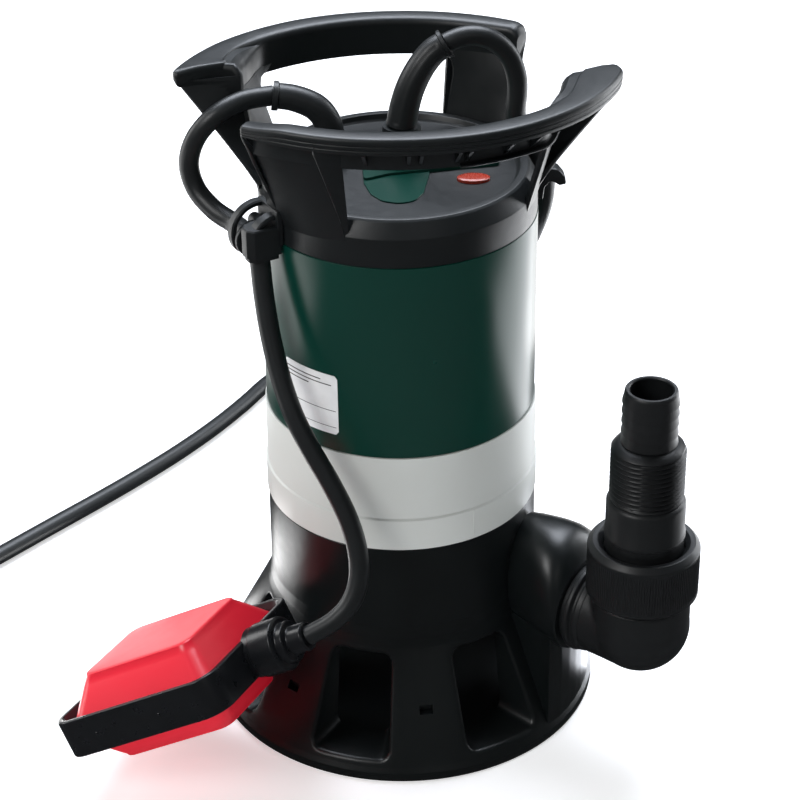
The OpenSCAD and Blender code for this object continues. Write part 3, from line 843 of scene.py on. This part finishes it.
s = Solid()
lobe = fillet([(-2, -15.5), (15, -14.8), (26, -12), (33, -7.2), (35.6, 0), (33.4, 6.8), (26, 10.6), (8, 13.6), (-2, 14)], [1, 6, 8, 8, 8, 8, 8, 3, 1], 5)
s.prism([uv_plan(*p) for p in lobe][::1], 266.6, 267.6, r=0.3)
panel = fillet([(-26, -15.5), (13.5, -15.0), (8, -4), (4.6, 13.1), (1.4, 27), (-1.5, 44.5), (-14, 44.5), (-26, 40)], [3, 2, 10, 10, 8, 2, 3, 3], 5)
s.prism([uv_plan(*p) for p in panel], 266.6, 268.7, r=0.4)
s.make("cap_green_inlay", green, "housing", ["cap_inlay"], angle=34)

# plain oval badge
s = Solid()
R = []
for k, z in ((1.0, 266.8), (1.0, 268.0), (0.985, 268.25), (0.93, 268.42), (0.6, 268.55), (0.2, 268.6)):
    R.append([(33 + q[0], 11 + q[1], z) for q in (uv_plan(4.4 * k * cos(2 * pi * i / 64), 7.2 * k * sin(2 * pi * i / 64)) for i in range(64))])
s.rows(R, caps=True)
s.make("cap_plain_badge", badge, "housing", ["cap_badge"], angle=34)

# ---------------------------------------------------------------- glands and strain reliefs
s = Solid()
along((-4, 8, 258), (0, 0, 1), s, fillet([(7.9, 0), (7.9, 9), (12.2, 9), (12.2, 15.5), (10.4, 17.4), (8.9, 17.6), (8.4, 26)],
                                        [0, 0, 0.6, 1.2, 0.8, 0.8, 0], 4, closed=False), 96)
for k in range(12):
    a = 30 * k
    s.rows([[(-4 + 12.0 * cos(rad(a + d)) * f, 8 + 12.0 * sin(rad(a + d)) * f, z) for d, f in ((-5, 1), (-3, 1.055), (3, 1.055), (5, 1))]
            for z in (267.8, 272.2)], caps=True)
s.make("mains_gland_body", black, "housing", ["mains_gland"], angle=34)

s = Solid()
along((-29, -10, 258), (0, 0, 1), s, fillet([(6.9, 0), (6.9, 9), (10, 9), (10, 13.6), (8.6, 15.2), (7.4, 15.4), (7, 19)],
                                          [0, 0, 0.5, 1, 0.8, 0.6, 0], 4, closed=False), 96)
s.make("float_gland_body", black, "housing", ["float_cable_gland"], angle=34)


def sleeve(name, node, pts, r0, r1, c0, c1, rc):
    """A tapered strain relief with a low lengthwise groove and a raised ring from c0 to c1 (shares of its length)."""
    s = Solid()
    S = crom(pts, 16)
    S, T, N = frames(S)
    L = len(S) - 1
    n = 48
    R = []
    for i in range(L + 1):
        f = i / L
        B = T[i].cross(N[i])
        r = r0 + (r1 - r0) * f
        if c0 < f < c1:
            r = rc
        row = []
        for j in range(n):
            a = 2 * pi * j / n
            rr = r - (0.28 * max(0.0, cos(3 * a)) ** 8 if 0.05 < f < c0 - 0.05 else 0.0)
            row.append(tuple(S[i] + N[i] * rr * cos(a) + B * rr * sin(a)))
        R.append(row)
    s.rows(R, caps=True)
    return s.make(name, rubber, "housing", [node], angle=40)


sleeve("mains_strain_relief", "mains_sleeve", [(-4, 8, 284), (-3, 9.3, 293), (-1, 11.3, 302), (2, 14.5, 310.4), (5.4, 18.5, 316.7), (9.2, 22.7, 320.2)],
       6.8, 5.7, 0.93, 1.01, 6.7)
sleeve("float_strain_relief", "float_sleeve", [(-29, -10, 277), (-30, -11, 285), (-34, -14, 292), (-41, -20, 296.5), (-48, -26, 298)],
       6.4, 5.6, 0.92, 1.01, 6.5)

# ---------------------------------------------------------------- clip and hook
CA = -112.0


def tclip(p):
    return (p[0] * cos(rad(CA)) - p[1] * sin(rad(CA)), p[0] * sin(rad(CA)) + p[1] * cos(rad(CA)), p[2])


def strap(solid, line, y0, y1, half, T, n=6):
    """A flat strip that follows a line of (r, z), between y0 and y1 across it, with eased edges."""
    P = crom([(a, 0, c) for a, c in line], n)
    R = []
    for i in range(len(P)):
        d = Vector(P[min(i + 1, len(P) - 1)]) - Vector(P[max(i - 1, 0)])
        nx, nz = Vector((-d.z, d.x)).normalized()
        e = 0.6
        ring = [(-half, y0 + e), (-half + e, y0), (half - e, y0), (half, y0 + e), (half, y1 - e), (half - e, y1), (-half + e, y1), (-half, y1 - e)]
        R.append([T((P[i][0] + nx * h, y, P[i][2] + nz * h)) for h, y in ring])
    solid.rows(R, caps=True)


def ring_disc(solid, c, r0, r1, y0, y1, T, n=64):
    prof = fillet([(r0, y0), (r1, y0), (r1, y1), (r0, y1)], 0.5, 3)
    R = [[T((c[0] + r * cos(2 * pi * i / n), y, c[1] + r * sin(2 * pi * i / n))) for r, y in prof] for i in range(n)]
    solid.rows(R, loop=True)


s = Solid()
s.prism(fillet([(61.0, -9.4), (63.9, -9.4), (63.9, 9.4), (61.0, 9.4)], 0.6, 3), 249.6, 265.6, tclip, r=0.8)
strap(s, [(62.6, 264.0), (67.0, 264.2), (72.2, 262.2), (76.2, 257.6), (77.4, 251.6), (76.0, 246.2), (72.8, 243.9)], -9.4, -4.9, 1.3, tclip)
ring_disc(s, (69.64, 250.0), 4.9, 8.3, -3.9, -1.7, tclip)
oct8 = fillet([(62.0, -2.2), (66.2, -2.2), (75.0, -1.2), (77.2, 1.6), (77.2, 6.2), (74.6, 9.2), (66.0, 9.4), (62.0, 9.4)], 0.8, 3)
s.prism(oct8, 245.8, 258.8, tclip, r=1.6)
s.prism([(69.8 + (a - 69.8) * 0.86, 3.6 + (b - 3.6) * 0.86) for a, b in oct8], 243.6, 246.4, tclip)
strap(s, [(62.4, 262.2), (66.4, 261.8), (70.2, 259.8), (73.0, 256.6)], 2.0, 7.4, 1.2, tclip)
along(tclip((66.6, -4.4, 256.8)), Vector(tclip((0, -1, 0))), s, fillet([(2.9, -5), (2.9, 3.4), (2.2, 4.4)], [0, 0.6, 0.4], 3, closed=False), 32)
s.make("cable_yoke", black_cap, "housing", ["cable_clip"], angle=34)

HA = 43.0


def thook(p):
    return (p[0] * cos(rad(HA)) - p[1] * sin(rad(HA)), p[0] * sin(rad(HA)) + p[1] * cos(rad(HA)), p[2])


s = Solid()
horn = fillet([(60.9, 251), (60.9, 264), (66, 266), (70.4, 264.9), (73.4, 261.2), (73.8, 257.8), (70.8, 257.2), (68.4, 258.8), (66.4, 259.4), (64.2, 256.6), (63.6, 251)],
              [0.3, 0.6, 3, 4, 2, 0.8, 0.8, 3, 3, 2, 0.5], 4)
R = []
for y, e in ((-4.0, 0.7), (-3.7, 0.25), (-3.2, 0.0), (3.2, 0.0), (3.7, 0.25), (4.0, 0.7)):
    R.append([thook((a, y, c)) for a, c in (inset(horn, e) if e else horn)])
s.rows(R, caps=True)
s.make("cord_horn", black_cap, "housing", ["cord_hook"], angle=34)

# ---------------------------------------------------------------- outlet
AX, AY, OZ = 125.0, 16.0, 68.0
s = Solid()
h = Solid()


def elbow_solve(o):
    v = Solid()
    along((AX, AY, OZ + 2.5), (0, 0, 1), v, [(14, -4), (22.3, 0), (22.3, 8), (22.3, 16.4)], 96)
    boolean(o, tool(v), "UNION")
    ball = Solid()
    R = []
    for i in range(1, 40):
        a = -pi / 2 + pi * i / 40
        R.append([(AX + 22.6 * cos(a) * cos(2 * pi * j / 80), AY + 22.6 * cos(a) * sin(2 * pi * j / 80), OZ + 2.6 + 22.6 * sin(a)) for j in range(80)])
    ball.rows(R, caps=True)
    boolean(o, tool(ball), "UNION")

    def setup(x):
        m = x.modifiers.new("r", "REMESH")
        m.mode = "VOXEL"
        m.voxel_size = 0.0007
        m2 = x.modifiers.new("s", "SMOOTH")
        m2.factor = 0.5
        m2.iterations = 12
    apply(o, setup)


along((101.5, AY, OZ), (1, 0, 0), s, [(20.3, 0), (20.3, 10), (20.5, 22)], 96)
s.make("elbow_bend", black_nut, "housing", ["outlet_elbow"], angle=60, solve=elbow_solve)
s = Solid()
along((94.25, AY, OZ), (1, 0, 0), s, fillet([(16, 0), (20.2, 0), (20.2, 2.3), (22.0, 2.6), (22.0, 4.9), (20.0, 5.6), (20.0, 7.0), (21.0, 7.6), (20.5, 10.0), (18, 11)],
                                           [0, 0.4, 0.6, 0.9, 0.9, 0.8, 0.5, 0.5, 0.3, 0], 4, closed=False), 128)
s.make("elbow_collars", black_nut, "housing", (), angle=34)
s = Solid()
s.lathe(fillet([(20.2, 86), (20.2, 104.2), (15.2, 104.2), (15.2, 86)], 0.5, 3), 128, T=lambda p: (p[0] + AX, p[1] + AY, p[2]))
s.make("elbow_spigot", black_nut, "housing", (), angle=34)


def at(p):
    return (p[0] + AX, p[1] + AY, p[2])


s = Solid()
KN = 132


def knurl(t, r, z):
    if r < 25.0 or z < 91.2 or z > 111.5:
        return 0
    e = min(1, (z - 91.2) / 1.0, (111.5 - z) / 1.2)
    return -0.34 * e * (0.5 + 0.5 * cos(KN * t))


prof = fillet([(24.2, 88.5), (25.25, 89.7), (25.25, 113.0), (22.9, 115.6), (20.6, 115.4), (18.45, 113.0), (18.45, 109.5), (20.75, 109.5), (20.75, 92.0), (22.0, 88.5)],
              [0.4, 0.8, 1.6, 0.8, 0.8, 0.4, 0.2, 0.2, 0.4, 0.2], 5)
extra = []
for i, p in enumerate(prof):
    extra.append(p)
    q = prof[(i + 1) % len(prof)]
    if abs(p[0] - 25.25) < 0.02 and abs(q[0] - 25.25) < 0.02 and q[1] - p[1] > 10:
        extra += [(25.25, z) for z in (91.2, 91.8, 92.4, 100, 110.2, 110.8, 111.5) if p[1] < z < q[1]]
s.lathe(extra, KN * 6, T=at, relief=knurl)
s.make("knurled_nut", black_nut, "nut", ["union_nut"], angle=50)

# stepped adapter: smooth barb with a collar, pipe thread, ridged barb
s = Solid()
PITCH = 2.309
TR = 16.62
prof = [(13.4, 106.4), (20.2, 106.4), (20.2, 109.0), (18.0, 109.4), (17.65, 110), (17.65, 119.2), (18.1, 119.7), (18.1, 121.2), (17.65, 121.8),
        (17.65, 136.4), (17.0, 137.6), (16.0, 138.2)]
z = 138.6
while z < 164.3:
    prof.append((TR, z))
    z += 0.33
prof += [(15.6, 164.9), (14.2, 165.7), (13.2, 166.4)]
z0 = 166.6
for k in range(5):
    zb = z0 + 4.9 * k
    prof += [(11.7, zb), (12.55, zb + 0.5), (12.5, zb + 1.3), (11.75, zb + 4.4)]
prof += [(11.7, 191.2), (11.5, 192.4), (11.0, 192.9), (9.9, 192.9), (9.4, 192.3), (9.3, 160), (13.2, 156), (13.4, 150)]


def thread(t, r, z):
    if abs(r - TR) > 1e-6:
        return 0
    ph = ((z - 138.0) / PITCH - t / (2 * pi)) % 1.0
    d = abs(ph - 0.5) * 2
    e = min(1, max(0, (z - 138.2) / 1.6), max(0, (164.9 - z) / 1.6))
    return -1.25 * (min(1, max(0, (d - 0.12) / 0.7))) * e - (1 - e) * 0.6


s.lathe(prof, 144, T=at, relief=thread)
s.make("stepped_adapter", black_nut, "hose_tail", ["hose_adapter"], angle=38)

# ---------------------------------------------------------------- float
FC = Vector((-34, -121, 48))
FR = [rad(v) for v in (-9, -30, 20.5)]
FLL, FLW, FLB = 91.0, 88.0, 9.0
FM = Matrix.Rotation(FR[2], 3, "Z") @ Matrix.Rotation(FR[1], 3, "Y") @ Matrix.Rotation(FR[0], 3, "X")


def fl(p):
    return tuple(FC + FM @ Vector(p))


def rrect(l, w, r, n=10, z=0.0):
    P = []
    for sx, sy, st in ((1, 1, 0), (-1, 1, 90), (-1, -1, 180), (1, -1, 270)):
        for i in range(n + 1):
            a = rad(st + 90 * i / n)
            P.append((sx * (l / 2 - r) + r * cos(a), sy * (w / 2 - r) + r * sin(a), z))
    return P


def shell(name, node, sg):
    s = Solid()
    rings = [rrect(82.4, 79.4, 8, z=1.3 * sg), rrect(82.8, 79.8, 8.2, z=1.6 * sg)]
    for k in range(1, 7):
        f = k / 7
        g = f
        rings.append(rrect(82.8 - 19.8 * g, 79.8 - 28.8 * g, 8.2 - 1.7 * f, z=sg * (1.6 + 18.4 * f)))
    for k in range(5):
        a = k / 4 * pi / 2
        rings.append(rrect(62.6 - 2.2 * (1 - cos(a)) - 0.6, 50.6 - 2.2 * (1 - cos(a)) - 0.6, 6, z=sg * (20.4 + 1.3 * sin(a))))
    rings.append(rrect(56, 44, 5, z=sg * 21.75))
    rings.append(rrect(40, 28, 4, z=sg * 21.9))
    s.rows(rings, caps=True, T=fl)
    return s.make(name, red, "float", [node], angle=42)


shell("float_top_shell", "float_shell_upper", 1)
shell("float_under_shell", "float_shell_lower", -1)

s = Solid()
loop = rrect(FLL, FLW, 11.5, n=14)
prof = fillet([(0.0, -FLB), (0.0, FLB), (-2.6, FLB), (-3.8, 5.6), (-4.6, 2.0), (-4.6, -2.0), (-3.8, -5.6), (-2.6, -FLB)],
              [1.0, 1.0, 0.7, 0.3, 0.3, 0.3, 0.3, 0.7], 4)
R = []
for i in range(len(loop)):
    p = Vector(loop[i])
    a, c = Vector(loop[i - 1]), Vector(loop[(i + 1) % len(loop)])
    d = (c - a).normalized()
    nrm = Vector((d.y, -d.x, 0))
    R.append([tuple(p + nrm * q[0] + Vector((0, 0, q[1]))) for q in prof])
s.rows(R, ring=True, loop=True, T=fl)
for x, y in ((-22, -44), (14, -44), (-22, 44), (14, 44)):
    yy = 1 if y > 0 else -1
    rows = []
    for k in range(4):
        a = k / 3 * pi / 2
        rows.append([(x + 0.7 * cos(a) * cos(2 * pi * j / 12), y + yy * (0.0 + 0.35 * sin(a)), 0.7 * cos(a) * sin(2 * pi * j / 12)) for j in range(12)])
    rows.insert(0, [(x + 0.7 * cos(2 * pi * j / 12), y - yy * 0.6, 0.7 * sin(2 * pi * j / 12)) for j in range(12)])
    s.rows(rows, caps=True, T=fl)
s.make("float_rim_band", black_gloss, "float", ["float_band"], angle=36)

s = Solid()


def along_f(solid, prof, n=64):
    rows = [[fl((FLL / 2 + h, r * cos(2 * pi * j / n), r * sin(2 * pi * j / n))) for j in range(n)] for r, h in prof]
    solid.rows(rows, caps=True)


along_f(s, fillet([(11.6, -1.2), (11.6, 2), (12.4, 2.6), (12.4, 14.6), (11.2, 15.4), (9.4, 15.6), (9.4, 19.0), (8.8, 19.4), (6.6, 19.8), (6.6, 27.2), (5.8, 28)],
                  [0, 0.4, 0.6, 0.8, 0.5, 0.5, 0.5, 0.4, 0.5, 0.5, 0], 4, closed=False))
s.make("float_inlet_gland", black_gloss, "float", ["float_gland"], angle=36)


# ---------------------------------------------------------------- cords
def cord_curve(name, pts, d, mat):
    cu = bpy.data.curves.new(name, "CURVE")
    cu.dimensions = "3D"
    cu.bevel_depth = d / 2 * MM
    cu.bevel_resolution = 5
    cu.use_fill_caps = True
    sp = cu.splines.new("POLY")
    sp.points.add(len(pts) - 1)
    for i, p in enumerate(pts):
        sp.points[i].co = (p[0] * MM, p[1] * MM, p[2] * MM, 1)
    sp.use_smooth = True
    o = bpy.data.objects.new(name, cu)
    scene.collection.objects.link(o)
    cu.materials.append(mat)
    return o


def length_of(P):
    return sum(math.dist(P[i], P[i - 1]) for i in range(1, len(P)))


D = 9.0
mains_pts = [(9.2, 22.7, 320.2), (13, 26.9, 322.3), (16.8, 31.1, 322.9), (20.3, 35, 321.8), (23.5, 38.6, 319.2), (26.2, 41.6, 315.4),
             (28.3, 43.9, 310.6), (29.6, 45.3, 305.3), (30.3, 46, 300), (30.3, 46.2, 294), (29.8, 46, 288), (29.6, 47, 281.5),
             (31, 50, 274.8), (33.8, 54, 268), (36.3, 57, 260), (37.2, 59, 250), (35.5, 60, 238), (30, 62, 224), (20, 66, 205),
             (9, 70, 183), (0, 75, 155), (-8, 80, 125), (-18, 88, 94), (-33, 100, 62), (-55, 116, 33), (-84, 134, 13),
             (-114, 150, 5.2), (-142, 168, 4.8), (-166, 187, 4.8), (-190, 200, 4.8), (-214, 197, 4.8), (-228, 179, 4.8),
             (-228.5, 158, 4.8), (-223.6, 132, 4.8), (-219.4, 102, 4.8), (-217.2, 70, 4.8), (-217, 40, 4.8), (-218, 8, 4.8),
             (-220, -28, 4.8), (-221.6, -60, 4.8), (-223.4, -92, 4.8), (-224.4, -122, 4.8)]
main = [tuple(p) for p in crom(mains_pts, 4)]
CC = (-318.0, -125.0)
R0, STEP = 93.5, 9.05


def coil_point(u):
    """A wound coil: each column of five turns climbs or falls, then moves in by one diameter."""
    col = int(u // 5)
    v = u - 5 * col
    lift = min(v, 4.0) * STEP
    z = 4.8 + (lift if col % 2 == 0 else 4 * STEP - lift)
    shift = 0.0
    if v > 4:
        d = v - 4
        shift = sin(pi / 2 * min(1, d * 1.25))
    r = R0 - STEP * (col + shift)
    a = -2 * pi * u
    return (CC[0] + r * cos(a), CC[1] + r * sin(a), z)


def tail_from(u):
    """From the last turn round to the plug that lies inside the coil, and the heading there."""
    p = np.array(coil_point(u))
    q = np.array(coil_point(u - 0.01))
    d = (p - q)[:2]
    h0 = math.atan2(d[1], d[0])
    rho, turn, n = 38.0, rad(140), 14
    c = p[:2] + rho * np.array([sin(h0), -cos(h0)])
    out = []
    for i in range(1, n + 1):
        f = i / n
        h = h0 - turn * f
        out.append((c[0] - rho * sin(h), c[1] + rho * cos(h), p[2] + (19.3 - p[2]) * f * f * (3 - 2 * f)))
    return out, h0 - turn


def whole_lead(u):
    t, h = tail_from(u)
    line = main[:-1] + [coil_point(i / 28) for i in range(1, int(u * 28) + 1)] + [coil_point(u)] + t
    return line, length_of(line), h


TOTAL = 10000.0
lo, hi = 17.0, 18.6
for _ in range(50):
    u_end = (lo + hi) / 2
    if whole_lead(u_end)[1] < TOTAL:
        lo = u_end
    else:
        hi = u_end
mains_line, mains_len, heading = whole_lead(u_end)
mains = cord_curve("mains_lead", mains_line, D, rubber)
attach(mains, "housing")
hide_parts("mains_cord", "cord_coil")

end = Vector(mains_line[-1])
pd = Vector((cos(heading), sin(heading), 0))
ps = Vector((-sin(heading), cos(heading), 0))
s = Solid()
along(tuple(end), pd, s,
      fillet([(5.4, 0), (6.6, 3), (8.0, 7), (11.4, 12), (14.8, 17), (18.6, 20), (18.9, 36), (18.9, 49), (17.2, 52)],
             [0, 2, 3, 3, 2, 2, 1, 1.5, 0], 4, closed=False), 64)
for k in range(8):
    a = rad(22.5 + 45 * k)
    q = ps * cos(a) + Vector((0, 0, 1)) * sin(a)
    w = ps * -sin(a) + Vector((0, 0, 1)) * cos(a)
    R = [[tuple(end + pd * x + q * 17.9 + w * ww + q * hh) for ww, hh in ((-2.2, 0), (-1.8, 1.05), (1.8, 1.05), (2.2, 0))] for x in (24, 42)]
    s.rows(R, caps=True)
plug = s.make("plug_body", black_gloss, "housing", ["cord_plug"], angle=36)
s = Solid()
for sg in (-1, 1):
    along(tuple(end + pd * 51.5 + ps * sg * 9.5), pd, s, fillet([(2.4, 0), (2.4, 17.5), (1.4, 19.5)], [0, 0.8, 0.4], 3, closed=False), 24)
pins = s.make("plug_contacts", steel, "housing", ["plug_pins"], angle=36)

upper_pts = [(-48, -26, 298), (-54.3, -38.5, 298.1), (-60, -50, 293.6), (-66.6, -55.9, 283.6), (-70.2, -57.4, 271.1), (-66.8, -57.4, 260),
             (-56.9, -57.5, 253), (-46, -57.5, 250), (-36, -60.9, 250), (-29.5, -63.3, 250)]
lower_pts = [(-25, -65, 250), (-23, -66, 240), (-19.5, -68.5, 227), (-14, -71.5, 211), (-6.5, -74.5, 194), (2, -76.5, 179),
             (11.3, -76.5, 165), (20.6, -75.5, 151.5), (29.5, -75, 137), (36, -76.5, 123.5), (39.5, -80, 111.5), (39.2, -85.5, 101),
             (34.5, -92.2, 92.5), (25.6, -98.7, 84.8)]
up_line = [tuple(p) for p in crom(upper_pts, 5)]
low_line = [tuple(p) for p in crom(lower_pts, 5)]
upper = cord_curve("float_lead_upper", up_line, D, rubber)
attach(upper, "housing")
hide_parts("float_cable_upper")
length_of(up_line) * MM
lower = cord_curve("float_lead_lower", low_line, D, rubber)
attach(lower, "float")
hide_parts("float_cable_lower")
length_of(low_line) * MM

# ---------------------------------------------------------------- floor, world and lights
me = bpy.data.meshes.new("floor")
me.from_pydata([(-6, -6, 0), (6, -6, 0), (6, 6, 0), (-6, 6, 0)], [], [(0, 1, 2, 3)])
floor = bpy.data.objects.new("floor", me)
floor.location = (0, 0, -0.0003)
scene.collection.objects.link(floor)
fm, nt, b = tree("floor_white")
nt.links.new(ramp(nt, noise_of(nt, coords(nt), 3, 2), [(0.3, (0.90, 0.90, 0.91)), (0.7, (0.93, 0.93, 0.935))]), b.inputs["Base Color"])
b.inputs["Roughness"].default_value = 0.7
b.inputs["Specular IOR Level"].default_value = 0.2
b.inputs["Emission Color"].default_value = (1, 1, 1, 1)
b.inputs["Emission Strength"].default_value = 0.5
me.materials.append(fm)
floor.visible_glossy = False

world = bpy.data.worlds.new("world")
scene.world = world
world.use_nodes = True
wn = world.node_tree
bg = wn.nodes["Background"]
bg.inputs["Color"].default_value = (0.93, 0.95, 1.0, 1)
bg.inputs["Strength"].default_value = 0.04
bg2 = wn.nodes.new("ShaderNodeBackground")
bg2.inputs["Color"].default_value = (1, 1, 1, 1)
bg2.inputs["Strength"].default_value = 1.0
lp = wn.nodes.new("ShaderNodeLightPath")
mx = wn.nodes.new("ShaderNodeMixShader")
wn.links.new(lp.outputs["Is Camera Ray"], mx.inputs["Fac"])
wn.links.new(bg.outputs[0], mx.inputs[1])
wn.links.new(bg2.outputs[0], mx.inputs[2])
wn.links.new(mx.outputs[0], wn.nodes["World Output"].inputs["Surface"])

target = Vector((0.0, -0.02, 0.16))
hx = Vector((right.x, right.y, 0)).normalized()
hy = Vector((fw.x, fw.y, 0)).normalized()


def area(name, off, size, power, color=(1, 1, 1), aim=None):
    ld = bpy.data.lights.new(name, "AREA")
    ld.shape = "RECTANGLE"
    ld.size, ld.size_y = size
    ld.energy = power
    ld.color = color
    o = bpy.data.objects.new(name, ld)
    o.location = target + hx * off[0] + hy * off[1] + Vector((0, 0, off[2]))
    d = (aim or target) - o.location
    o.rotation_euler = d.to_track_quat("-Z", "Y").to_euler()
    scene.collection.objects.link(o)
    return o


def sheet_light(name, off, size, power, color=(1, 1, 1)):
    """A low panel that faces up beside or behind the object, as the lit white table does."""
    o = area(name, (off[0], off[1], -target.z - 0.004), size, power, color, aim=target + hx * off[0] + hy * off[1] + Vector((0, 0, 1)))
    o.visible_camera = False
    return o


area("top_box", (0.0, 0.60, 1.25), (1.5, 0.8), 42, (0.86, 0.91, 1.0))
area("left_box", (-1.30, 0.45, 0.35), (0.5, 1.2), 9)
area("left_key", (-1.0, -0.9, 1.0), (0.6, 0.6), 10)
area("right_box", (1.25, 0.75, 0.30), (0.40, 1.1), 11, (0.93, 0.96, 1.0))
area("front_fill", (0.6, -1.6, 1.0), (0.8, 0.6), 0.9)
sheet_light("left_sheet", (-0.62, 0.22), (0.62, 0.9), 4.5)
sheet_light("right_sheet", (0.62, 0.34), (0.5, 0.8), 4.5, (0.95, 0.97, 1.0))
sheet_light("near_sheet", (-0.17, 0.05), (0.06, 0.16), 0.22)
sheet_light("near_right_sheet", (0.150, 0.07), (0.05, 0.14), 0.14, (0.90, 0.93, 1.0))
sheet_light("back_sheet", (0.0, 0.85), (1.3, 0.6), 6.0)

scene.view_settings.view_transform = "Standard"
scene.view_settings.look = "None"
scene.view_settings.exposure = 0.0
scene.view_settings.gamma = 1.0
